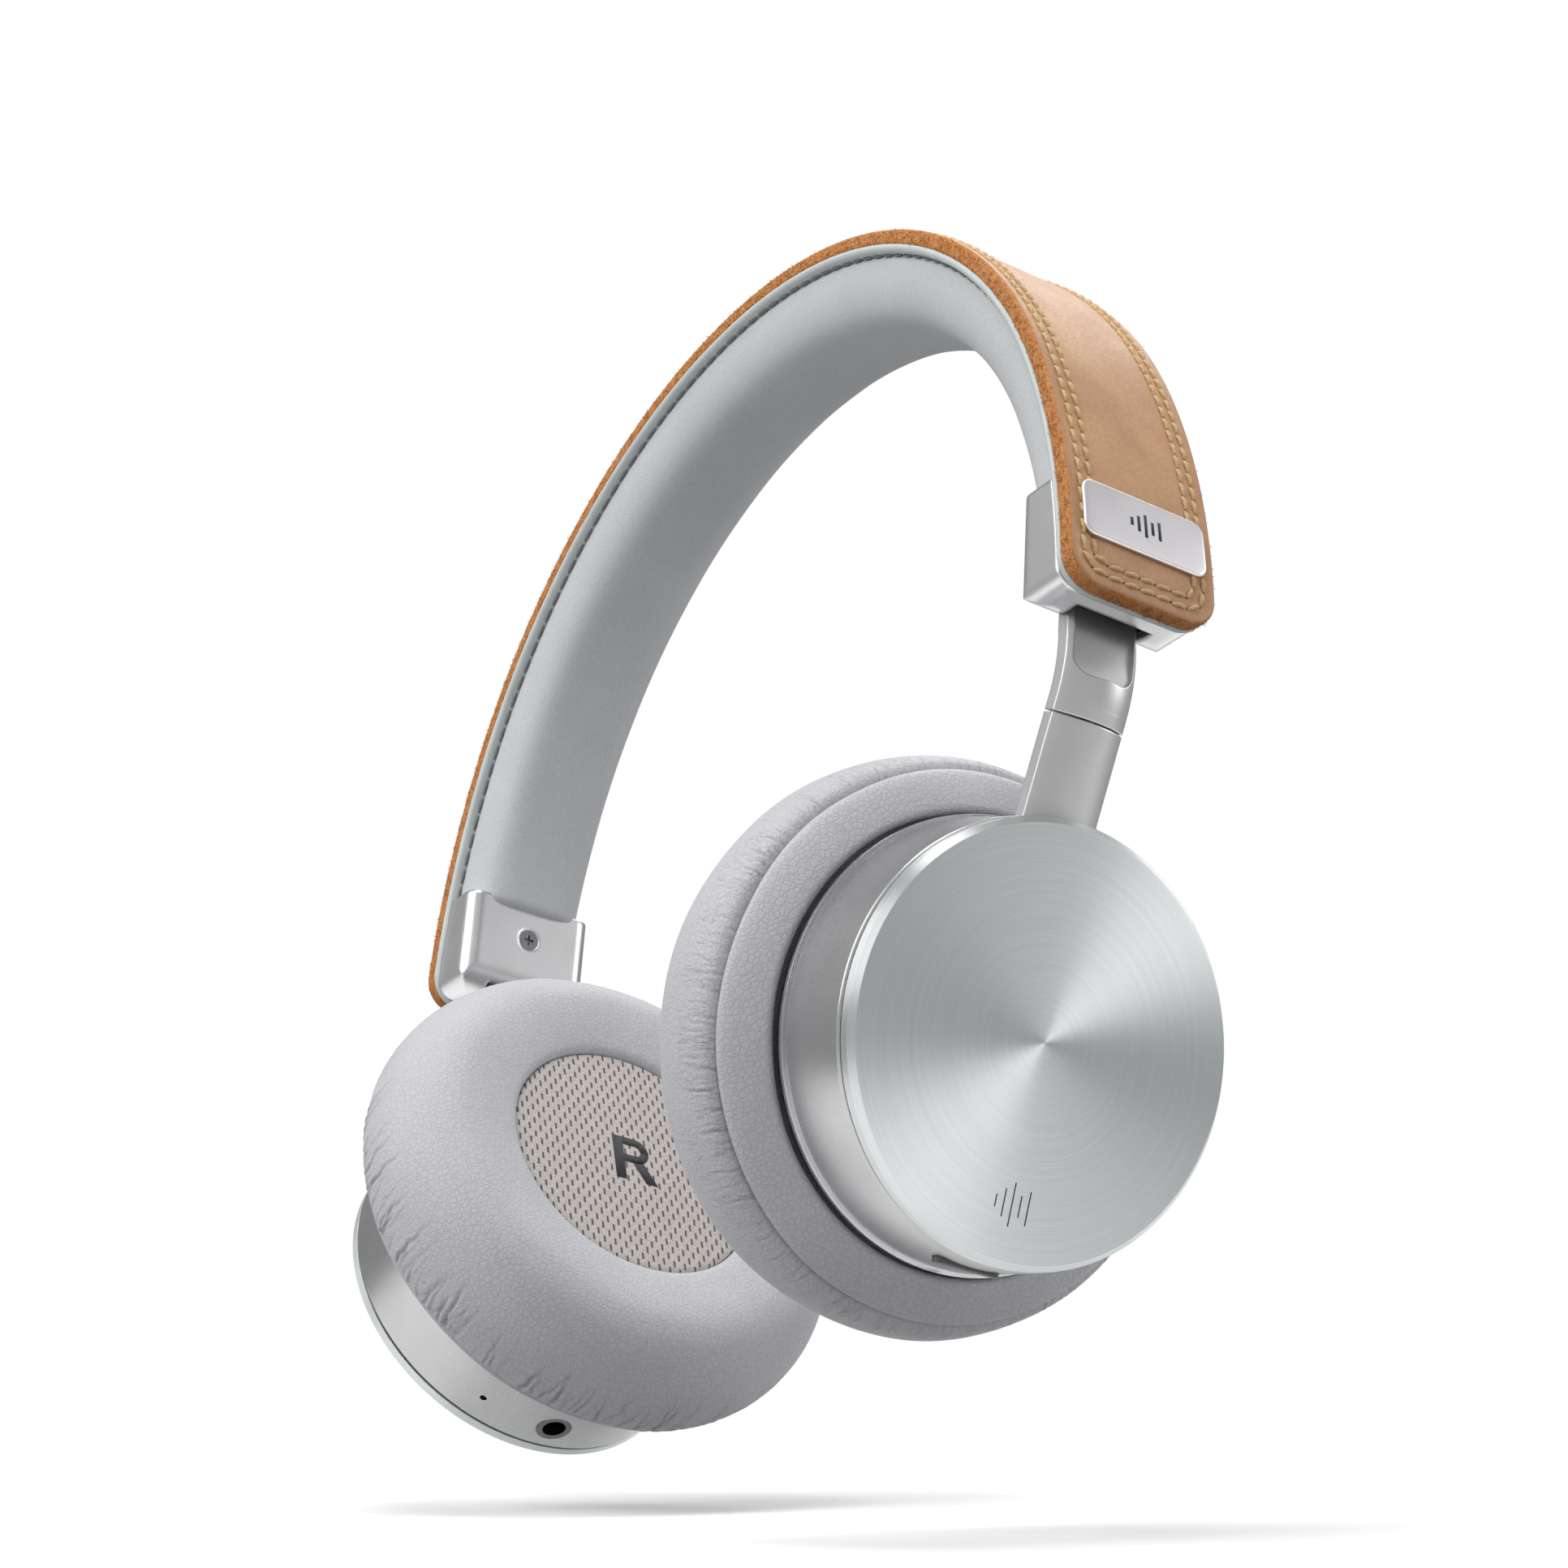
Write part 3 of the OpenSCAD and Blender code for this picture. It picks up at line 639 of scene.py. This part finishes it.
def leather_profile():
    """(inset, depth) from the strap's underside round its edge, with a groove under each stitch row."""
    top = [(0.0, 0.5), (0.08, 0.28), (0.25, 0.1), (0.5, 0.02), (0.8, 0.0), (1.1, 0.03)]
    for row in STITCH_ROWS:
        r = row / MM
        top += [(r - 0.28, 0.1), (r, 0.2), (r + 0.28, 0.1), (r + 0.55, 0.03)]
    top += [(4.7, 0.0), (5.0, 0.0)]
    side = [(5.0, 2.4), (1.0, 2.4), (0.2, 2.38), (0.05, 2.25)]
    side += [(0.0, d) for d in (2.0, 1.7, 1.4, 1.1, 0.8)]
    return [(i * MM, d * MM) for i, d in side + top]


def make_strap():
    """The tan leather strap. Its cut edge has a second material."""
    piece = slab(
        "strap_leather",
        BAND_LEN,
        STRAP_W / 2,
        STRAP_CORNER,
        0.4 * MM,
        leather_profile(),
        on_band,
        LOOKS["leather"],
        "leather",
        rough=(2, 10, 0.11 * MM),
    )
    piece.data.materials.append(LOOKS["raw"])
    for polygon in piece.data.polygons:
        run, across, depth = band_coordinates(polygon.center)
        inset = rounded_inset(run, across, BAND_LEN, STRAP_W / 2, STRAP_CORNER)
        if inset < 0.3 * MM and depth > 0.12 * MM:
            polygon.material_index = 1
    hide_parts("leather_strap")


def band_coordinates(p):
    """The run, the place across and the depth of a point on the headband."""
    x, z = abs(p.x), p.z
    angle = math.atan2(x - CROWN_C[0], z - CROWN_C[2])
    if angle <= CROWN_ANGLE:
        return (
            math.copysign(angle * CROWN_R, p.x),
            p.y,
            CROWN_R - math.hypot(x - CROWN_C[0], z - CROWN_C[2]),
        )
    angle = math.atan2(x - SIDE_C[0], z - SIDE_C[2])
    run = CROWN_LEN + (angle - CROWN_ANGLE) * SIDE_R
    return math.copysign(run, p.x), p.y, SIDE_R - math.hypot(x - SIDE_C[0], z - SIDE_C[2])


def rounded_inset(run, across, half_run, half_w, corner):
    """How far inside a rounded rectangle a place is."""
    dx = abs(run) - (half_run - corner)
    dy = abs(across) - (half_w - corner)
    outside = math.hypot(max(dx, 0), max(dy, 0)) + min(max(dx, dy), 0)
    return corner - outside


def make_carrier():
    """The pale rubber strip under the leather."""
    rows = [(5, 3.6), (1.0, 3.6), (0.45, 3.55), (0.15, 3.4), (0.0, 3.1), (-0.05, 2.95), (0.0, 2.65)]
    rows += [(0.12, 2.45), (0.4, 2.41), (5, 2.41)]
    piece = slab(
        "carrier_strip",
        BAND_LEN,
        STRAP_W / 2,
        STRAP_CORNER,
        1.0 * MM,
        [(i * MM, d * MM) for i, d in rows],
        on_band,
        LOOKS["carrier"],
        "carrier",
    )
    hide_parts("strap_carrier")


def stitch_path(inset):
    """A closed stitch row at an inset from the strap's outline: run and across for each hole."""
    edge, way = outline(BAND_LEN, STRAP_W / 2, STRAP_CORNER, 0.4 * MM)
    line = edge + way * inset
    line = np.vstack([line, line[:1]])
    lengths = np.concatenate([[0], np.cumsum(np.linalg.norm(np.diff(line, axis=0), axis=1))])
    count = round(lengths[-1] / STITCH_PITCH)
    at = np.arange(count) / count * lengths[-1]
    return np.stack([np.interp(at, lengths, line[:, k]) for k in (0, 1)], -1)


def tube(points, radii, sides=8):
    """A closed tube along points with a radius at each."""
    points = np.asarray(points, float)
    tangent = np.gradient(points, axis=0)
    tangent /= np.linalg.norm(tangent, axis=1)[:, None]
    lead = np.array([0.0, 0.0, 1.0]) if abs(tangent[0][2]) < 0.9 else np.array([0.0, 1.0, 0.0])
    side = np.cross(tangent, lead)
    side /= np.linalg.norm(side, axis=1)[:, None]
    other = np.cross(tangent, side)
    angle = np.arange(sides) / sides * 2 * math.pi
    rim = np.cos(angle)[None, :, None] * side[:, None] + np.sin(angle)[None, :, None] * other[:, None]
    skin = points[:, None] + rim * np.asarray(radii)[:, None, None]
    faces = grid_faces(len(points), sides, wrap_v=True).tolist()
    faces.append(list(range(sides))[::-1])
    faces.append([(len(points) - 1) * sides + k for k in range(sides)])
    return skin.reshape(-1, 3), faces


def make_stitches():
    """Two rows of stitches round the strap, and dark plugs of painted shade in the holes that they go
    down.
    """
    parts, holes = [], []
    for row in STITCH_ROWS:
        path = stitch_path(row)
        ahead = np.roll(path, -1, axis=0)
        for a, b in zip(path, ahead):
            drift = rng.normal(0, 0.03 * MM, 2)
            across = np.array([-(b - a)[1], (b - a)[0]]) / max(np.linalg.norm(b - a), 1e-9)
            t = np.linspace(0.04, 0.96, 7)
            lift = np.sin(t * math.pi)
            lean = (t - 0.5) * 0.3 * MM
            flat = a + (b - a) * t[:, None] + across * lean[:, None] + drift
            depth = 0.3 * MM - lift * 0.38 * MM
            radii = STITCH_R * (0.45 + 0.55 * lift**0.5)
            parts.append(tube(on_band(flat[:, 0], flat[:, 1], depth), radii))
            # a dark plug in each hole, as painted shade
            angle = np.arange(8) / 8 * 2 * math.pi
            ring = a + 0.27 * MM * np.stack([np.cos(angle), np.sin(angle)], -1)
            rim = on_band(ring[:, 0], ring[:, 1], 0.12 * MM)
            low = on_band(ring[:, 0], ring[:, 1], 0.5 * MM)
            sides = grid_faces(2, 8, wrap_v=True).tolist()
            lids = [list(range(8)), [8 + k for k in range(8)]]
            holes.append((np.vstack([rim, low]), sides + lids))
    make("strap_stitches", *join_parts(parts), LOOKS["tan_thread"], "headband", "leather")
    make("painted_hole_shades", *join_parts(holes), LOOKS["hole"], "headband", "leather")


def padding_depth(run):
    """Depth of the padding's inner face: fullest at the crown."""
    x = np.abs(run) / BAND_LEN
    return (PADDING_D - PADDING_THINNING * np.clip(x, 0, 1) ** 2) * MM


def make_padding():
    """A tube of padding sewn along both edges, with a soft inner face and closed ends."""
    runs = np.linspace(-PADDING_REACH, PADDING_REACH, 420)
    # shape of a half section: place across from the middle, and depth as a share of the padding
    half = [(0, 1.0), (3, 0.995), (5.5, 0.965), (7.4, 0.885), (8.8, 0.74), (9.8, 0.52), (10.3, 0.3)]
    half += [(10.42, 0.14), (10.3, 0.04), (9.9, -0.02), (9.3, -0.03)]
    line = smooth_line(half, 0.35)
    line = np.vstack([line[::-1] * [-1, 1], line[1:]])
    base = LEATHER_T + CARRIER_T
    end = np.clip((PADDING_REACH - np.abs(runs)) / (1.6 * MM), 0, 1)
    shrink = np.sqrt(1 - (1 - end) ** 2) * 0.16 + 0.84
    across = line[None, :, 0] * MM * (0.03 * shrink[:, None] + 0.97)
    share = line[None, :, 1] * shrink[:, None]
    depth = base + share * (padding_depth(runs)[:, None] - base)
    ripple = np.array(
        [[noise.noise(Vector((r / (11 * MM), a * 60, 3.3))) for a in across[0]] for r in runs]
    )
    depth = depth + ripple * 0.12 * MM * np.clip(share, 0, 1)
    points = on_band(runs[:, None], across, depth)
    faces = grid_faces(len(runs), len(line), wrap_v=True).tolist()
    n = len(line)
    faces.append(list(range(n)))
    faces.append([(len(runs) - 1) * n + k for k in range(n)])
    piece = make("padding_cover", points, faces, LOOKS["padding"], "headband", "padding")
    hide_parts("headband_padding")


def make_padding_seams():
    """A sunk row of small grey stitches where the padding meets the carrier, along both edges."""
    parts = []
    pitch = 3.3 * MM
    count = int(2 * PADDING_REACH / pitch)
    for side in (-1, 1):
        for k in range(count):
            start = -PADDING_REACH + (k + 0.12) * pitch
            t = np.linspace(0, 1, 6)
            run = start + t * pitch * 0.84
            across = side * (10.55 * MM + 0.05 * MM * np.sin(t * math.pi))
            depth = LEATHER_T + CARRIER_T + 0.12 * MM + 0.12 * MM * np.sin(t * math.pi)
            radii = 0.2 * MM * (0.5 + 0.5 * np.sin(t * math.pi) ** 0.5)
            parts.append(tube(on_band(run, across, depth), radii, 6))
    make("padding_stitches", *join_parts(parts), LOOKS["grey_thread"], "headband", "padding")


def make_badge():
    """Plain nameplate with a bright broken edge and five bars of a sound level on it."""
    low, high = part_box("badge")
    middle = band_coordinates((low + high) / 2)[0]
    half_run, half_w, corner = 4.5 * MM, 10.1 * MM, 1.8 * MM

    def place(run, across, depth):
        return on_band(run + middle, across, depth)

    rows = [(1.8, -0.1), (0.0, -0.1), (0.0, -0.55), (0.05, -0.68)]
    rows += [(0.16, -0.78), (0.3, -0.82), (0.5, -0.83), (1.8, -0.83)]
    piece = slab(
        "badge_plate",
        half_run,
        half_w,
        corner,
        0.5 * MM,
        [(i * MM, d * MM) for i, d in rows],
        place,
        LOOKS["badge"],
        "badge_metal",
    )
    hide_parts("badge")
    # the bars stand along the band, so their corners are given as (run, across)
    bars = [np.array(bar)[:, ::-1] for bar in level_bars((1.3, 2.5, 3.7, 2.1, 3.0), 1.15, 0.24)]
    mesh = plates(bars, place, -0.86 * MM, -0.8 * MM)
    make("badge_bars", *mesh, LOOKS["print"], "headband", "badge_metal")


# ---- Cups ----

# Section of the cushion's cover in radius and depth, in millimetres: the sloping back from the ring
# to the seam, then the side wall and the face, to the lip round the mesh
BACK = [(30.3, 17.8), (30.3, 17.0), (30.6, 16.4), (31.3, 16.3), (33.2, 17.2), (35.2, 18.5)]
BACK += [(36.3, 19.5), (36.62, 20.1), (36.4, 20.5), (35.5, 20.85)]
FRONT = [(35.5, 20.85), (36.8, 20.9), (37.55, 21.3), (38.3, 22.5), (38.85, 24.6), (39.0, 27.2)]
FRONT += [(38.7, 30.2), (37.8, 33.2), (36.2, 36.2), (33.9, 38.5), (31.0, 39.7), (28.3, 39.85)]
FRONT += [(25.5, 39.5), (23.0, 38.95), (21.3, 38.4), (20.65, 37.9), (20.5, 37.2), (20.5, 36.4)]
# The hidden inside, a plain wall that closes the cover, in radius and depth
INSIDE = np.array([(21.2, 34.0), (21.2, 19.5), (30.0, 18.6)]) * MM
CUSHION_TURNS = 1400

# Creases on each side's cushion: how many, and their depths, widths and lengths
CREASES = {
    "l": (300, (0.05 * MM, 0.2 * MM), (0.16 * MM, 0.26 * MM), (3 * MM, 8.5 * MM)),
    "r": (280, (0.1 * MM, 0.42 * MM), (0.22 * MM, 0.4 * MM), (6 * MM, 13 * MM)),
}


def crease_field(angles, along, side):
    """Depth of the creases that run from the seam over the side wall, at each angle and distance from
    the seam."""
    count, depths, widths, lengths = CREASES[side]
    field = np.zeros((len(angles), len(along)))
    draw = np.random.default_rng(11 if side == "l" else 23)
    reach = SEAM_R * 2 * math.pi
    u = angles / (2 * math.pi) * reach
    v = along[None, :]
    for _ in range(count):
        at = draw.uniform(0, reach)
        deep = draw.uniform(*depths)
        wide = draw.uniform(*widths)
        start = draw.uniform(-0.2, 2.0) * MM
        length = draw.uniform(*lengths)
        wave = draw.uniform(0.05, 0.25) * MM
        period = draw.uniform(2.5, 5.0) * MM
        phase = draw.uniform(0, 2 * math.pi)
        line = at + draw.normal(0, 0.13) * v + wave * np.sin(v / period * 2 * math.pi + phase)
        gap = (u[:, None] - line + reach / 2) % reach - reach / 2
        t = np.clip((v - start) / length, 0, 1)
        envelope = np.clip(t * 7, 0, 1) * (1 - t) ** 0.8 * (v > start)
        groove = np.exp(-((gap / wide) ** 2)) - 0.35 * np.exp(-((gap / (2.5 * wide)) ** 2))
        field -= deep * envelope * groove
    return field


def slow_swell(angles, along):
    """Slow unevenness of the filling, from noise at every sixth place along the section."""
    coarse = along[::6]
    rows = []
    for angle in angles:
        ring = (math.cos(angle) * 2.2, math.sin(angle) * 2.2)
        row = [noise.noise(Vector((*ring, d / (9 * MM)))) for d in coarse]
        rows.append(np.interp(along, coarse, row))
    return np.array(rows)


def make_cushion(side):
    """Leatherette cushion: a sloping back, a pinched seam, a creased side wall and a dished face."""
    cup = CUPS[side]
    back, front = smooth_line(BACK, 0.6), smooth_line(FRONT, 0.62)
    line = np.vstack([back[:-1], front]) * MM
    run = np.concatenate([[0], np.cumsum(np.linalg.norm(np.diff(line, axis=0), axis=1))])
    along = run - run[len(back) - 1]
    tangent = np.gradient(line, axis=0)
    normal = np.stack([tangent[:, 1], -tangent[:, 0]], -1)
    normal /= np.linalg.norm(tangent, axis=1)[:, None]
    angles = np.linspace(0, 2 * math.pi, CUSHION_TURNS, endpoint=False)
    field = crease_field(angles, along, side)
    # how much painted shade each point gets: in the creases by their depth, and along the seam
    groove = np.clip(-field / (0.16 * MM), 0, 1) * (along > 0)
    groove = np.maximum(groove, 1.5 * np.exp(-((along / (0.5 * MM)) ** 2)))
    fade = np.clip((run[-1] - run) / (8 * MM), 0, 1)
    field *= (along > 0) * fade
    field += slow_swell(angles, along) * 0.2 * MM * fade
    # the seam's stitches pull it in and out a little
    pull = 0.05 * MM * np.sin(angles * 74 + 2 * np.sin(angles * 5))
    field -= np.exp(-((along / (0.8 * MM)) ** 2)) * pull[:, None]
    section = line + field[..., None] * normal
    inside = np.broadcast_to(INSIDE, (CUSHION_TURNS, *INSIDE.shape))
    radius, depth = np.moveaxis(np.concatenate([section, inside], axis=1), -1, 0)
    along = np.append(along, np.zeros(len(INSIDE)))
    groove = np.hstack([groove, np.zeros(inside.shape[:2])])
    crease = np.clip(along / (0.8 * MM), 0, 1) * np.clip((12 * MM - along) / (5 * MM), 0, 1)
    flat = np.stack(np.broadcast_arrays((angles * SEAM_R)[:, None], along), -1)
    piece = make(
        "cushion_cover_" + side,
        cup.polar(radius, depth, angles[:, None]),
        grid_faces(*radius.shape, wrap_u=True, wrap_v=True),
        LOOKS["cushion"],
        cup.body,
        "cushion",
        flat=flat,
        values={"crease": np.tile(crease, CUSHION_TURNS), "groove": groove},
    )
    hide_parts("ear_cushion_" + side)


def make_ear_mesh(side):
    """Slightly domed disc of mesh cloth, tucked under the cushion's lip."""
    cup = CUPS[side]
    middle, rim = 0.01 * MM, OPENING_R - 0.05 * MM
    radii = np.concatenate([[middle], np.linspace(1 * MM, OPENING_R - 0.3 * MM, 22), [rim]])
    depths = MESH_D + 0.25 * MM * (1 - (radii / OPENING_R) ** 2)
    depths[-1] -= 0.35 * MM
    radii = np.append(radii, [rim, middle])
    depths = np.append(depths, [MESH_D - 0.6 * MM] * 2)
    angles = np.linspace(0, 2 * math.pi, 120, endpoint=False)[:, None]
    across, up = radii * np.sin(angles), radii * np.cos(angles)
    piece = make(
        "mesh_disc_" + side,
        cup.flat(across, up, depths),
        grid_faces(*across.shape, wrap_u=True, wrap_v=True),
        LOOKS["mesh"],
        cup.body,
        "mesh_cloth",
        flat=np.stack([across, up], -1),
    )
    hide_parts("ear_mesh_" + side)


def strokes(letter):
    """Four-cornered polygons of a bold L or R, about 7 wide and 8 high, in millimetres."""
    left, right, low, high, w = -3.5, 3.5, -4.1, 4.1, 1.75
    stem = rectangle(left, left + w, low, high)
    if letter == "l":
        return [stem, rectangle(left + w, right - 0.6, low, low + w)]
    centre_x, centre_y = 0.35, 1.75
    bowl_out, bowl_in = 2.35, 0.95
    arc = [math.radians(a) for a in range(-90, 91, 15)]
    bowl = []
    for a0, a1 in zip(arc, arc[1:]):
        corners = ((bowl_in, a0), (bowl_out, a0), (bowl_out, a1), (bowl_in, a1))
        bowl.append([(centre_x + r * math.cos(a), centre_y + r * math.sin(a)) for r, a in corners])
    bars = [
        rectangle(left + w, centre_x, centre_y + sign * bowl_out, centre_y + sign * bowl_in)
        for sign in (-1, 1)
    ]
    leg = [(-0.5, -0.2), (1.55, -0.2), (3.75, low), (1.75, low)]
    return [stem, *bars, *bowl, leg]


def make_letter(side):
    """The side's letter, printed on its mesh."""
    cup = CUPS[side]
    reading = 1 if side == "r" else -1
    polygons = [np.array(polygon) * [reading, 1] for polygon in strokes(side)]
    mesh = plates(polygons, cup.flat, MESH_D + 0.31 * MM, MESH_D + 0.1 * MM)
    make("letter_" + side, *mesh, LOOKS["print"], cup.body, "mesh_cloth")


def make_disc_mark(side):
    """Five fine bars of a sound level, engraved low on the disc."""
    cup = CUPS[side]
    bars = level_bars((1.6, 3.6, 5.6, 2.8, 4.4), 1.25, 0.09, middle=-21)
    mesh = plates(bars, cup.flat, -0.015 * MM, 0.05 * MM)
    make("disc_mark_" + side, *mesh, LOOKS["print"], cup.body, "disc_metal")


# ---- Stage ----

# The photograph's view: a camera below the cups' level, rolled a little, above a floor that leans
# with the view
AZIMUTH, ELEVATION, ROLL = math.radians(58.926), math.radians(-27.214), math.radians(3.85)
DISTANCE = 514.6 * MM
TARGET = Vector((2.7, -0.1, -72.4)) * MM
LENS = 78.2
# The floor: its lean from the view's level, its depth below the target, its half width, and the
# distances over which it goes over to plain white
FLOOR_LEAN = math.radians(-9.1)
FLOOR_DROP = 108 * MM
FLOOR_HALF = 0.42
FLOOR_FADE = (0.16, 0.36)
# The world's light: how bright it is from below and from above, and where along its axis
WORLD_DIM, WORLD_BRIGHT = 0.26, 0.56
WORLD_LOW, WORLD_HIGH = -0.8, 0.85


def view_axes():
    back = Vector(
        (
            math.sin(AZIMUTH) * math.cos(ELEVATION),
            -math.cos(AZIMUTH) * math.cos(ELEVATION),
            math.sin(ELEVATION),
        )
    )
    level = Vector((0, 0, 1)).cross(back).normalized()
    up = back.cross(level)
    right = level * math.cos(ROLL) + up * math.sin(ROLL)
    return right, back.cross(right), back


def make_camera():
    right, up, back = view_axes()
    data = bpy.data.cameras.new("camera")
    data.lens = LENS
    data.sensor_width = 36
    data.clip_start = 0.01
    data.clip_end = 50
    camera = bpy.data.objects.new("camera", data)
    camera.matrix_world = Matrix.Translation(TARGET + back * DISTANCE) @ Matrix(
        (right, up, back)
    ).transposed().to_4x4()
    bpy.context.scene.collection.objects.link(camera)
    bpy.context.scene.camera = camera


def softbox(name, way, distance, size, power, color=(1, 1, 1)):
    """An area light that faces the object's middle from a distance. way is (right, up, back) in the
    photograph's view."""
    right, up, back = view_axes()
    direction = (right * way[0] + up * way[1] + back * way[2]).normalized()
    data = bpy.data.lights.new(name, "AREA")
    data.shape = "RECTANGLE"
    data.size, data.size_y = size
    data.energy = power
    data.color = color
    light = bpy.data.objects.new(name, data)
    light.location = TARGET + direction * distance
    light.rotation_mode = "QUATERNION"
    light.rotation_quaternion = direction.to_track_quat("Z", "Y")
    bpy.context.scene.collection.objects.link(light)


def make_world():
    """White behind everything. The light from it is bright from above the view and dim from below."""
    world = bpy.data.worlds.new("studio")
    world.use_nodes = True
    tree = world.node_tree
    fill = tree.nodes["Background"]
    fill.inputs["Color"].default_value = (0.985, 0.99, 1.0, 1)
    right, up, back = view_axes()
    height = tree.nodes.new("ShaderNodeVectorMath")
    height.operation = "DOT_PRODUCT"
    height.inputs[1].default_value = up * 0.7 + back * 0.5 - right * 0.2
    level = tree.nodes.new("ShaderNodeMapRange")
    level.interpolation_type = "SMOOTHSTEP"
    for key, value in enumerate((WORLD_LOW, WORLD_HIGH, WORLD_DIM, WORLD_BRIGHT), 1):
        level.inputs[key].default_value = value
    where = tree.nodes.new("ShaderNodeTexCoord")
    backdrop = tree.nodes.new("ShaderNodeBackground")
    backdrop.inputs["Color"].default_value = (1, 1, 1, 1)
    seen = tree.nodes.new("ShaderNodeLightPath")
    mix = tree.nodes.new("ShaderNodeMixShader")
    for start, end in (
        (where.outputs["Generated"], height.inputs[0]),
        (height.outputs["Value"], level.inputs[0]),
        (level.outputs[0], fill.inputs["Strength"]),
        (seen.outputs["Is Camera Ray"], mix.inputs[0]),
        (fill.outputs[0], mix.inputs[1]),
        (backdrop.outputs[0], mix.inputs[2]),
        (mix.outputs[0], tree.nodes["World Output"].inputs["Surface"]),
    ):
        tree.links.new(start, end)
    bpy.context.scene.world = world


def make_floor():
    """A plain white floor below the cups, as the view sees it. It has one side, so it hides nothing
    from behind, and it goes over to plain white away from the shadows."""
    right, up, back = view_axes()
    normal = up * math.cos(FLOOR_LEAN) + back * math.sin(FLOOR_LEAN)
    away = normal.cross(right)
    middle = TARGET - normal * FLOOR_DROP
    corners = [middle + right * x + away * y for x, y in rectangle(*(-FLOOR_HALF, FLOOR_HALF) * 2)]
    mesh = bpy.data.meshes.new("floor")
    mesh.from_pydata([tuple(c) for c in corners], [], [(0, 1, 2, 3)])
    floor = bpy.data.objects.new("floor", mesh)
    floor.visible_diffuse = False
    bpy.context.scene.collection.objects.link(floor)
    look = Look("floor_white", (0.9, 0.9, 0.9, 1), roughness=1.0, Specular_IOR_Level=0.0)
    look.set(look.shader, "Emission Color", (1, 1, 1, 1))
    look.set(look.shader, "Emission Strength", 0.09)
    tree = look.tree
    distance = look.vector("LENGTH", look.vector("SUBTRACT", look.place(), tuple(middle)))
    white = look.node("Emission", {"Strength": 1.0})
    blank = look.node("MixShader", {0: look.map(distance, *FLOOR_FADE)})
    tree.links.new(look.shader.outputs[0], blank.inputs[1])
    tree.links.new(white.outputs[0], blank.inputs[2])
    clear = look.node("BsdfTransparent")
    sided = look.node("MixShader", {0: look.node("NewGeometry").outputs["Backfacing"]})
    tree.links.new(blank.outputs[0], sided.inputs[1])
    tree.links.new(clear.outputs[0], sided.inputs[2])
    tree.links.new(sided.outputs[0], tree.nodes["Material Output"].inputs["Surface"])
    mesh.materials.append(look.material)


def light_studio():
    """A big key light from the upper left, and small ones from above, behind and the right."""
    softbox("key", (-0.75, 0.62, 0.25), 0.9, (0.7, 0.7), 5.2, (1.0, 0.997, 0.99))
    softbox("top", (-0.08, 0.985, -0.1), 0.9, (0.36, 0.36), 3.3)
    softbox("back", (0.3, 0.8, -0.9), 0.9, (0.5, 0.3), 2.0)
    softbox("right", (0.955, 0.28, -0.1), 0.8, (0.2, 0.4), 1.7)


make_camera()
make_world()
make_floor()
light_studio()
paint_cad_nodes()
make_strap()
make_fibres()
make_carrier()
make_stitches()
make_padding()
make_padding_seams()
make_badge()
for which in SIDES:
    make_cushion(which)
    make_ear_mesh(which)
    make_letter(which)
    make_disc_mark(which)

bpy.context.scene.view_settings.view_transform = "Standard"
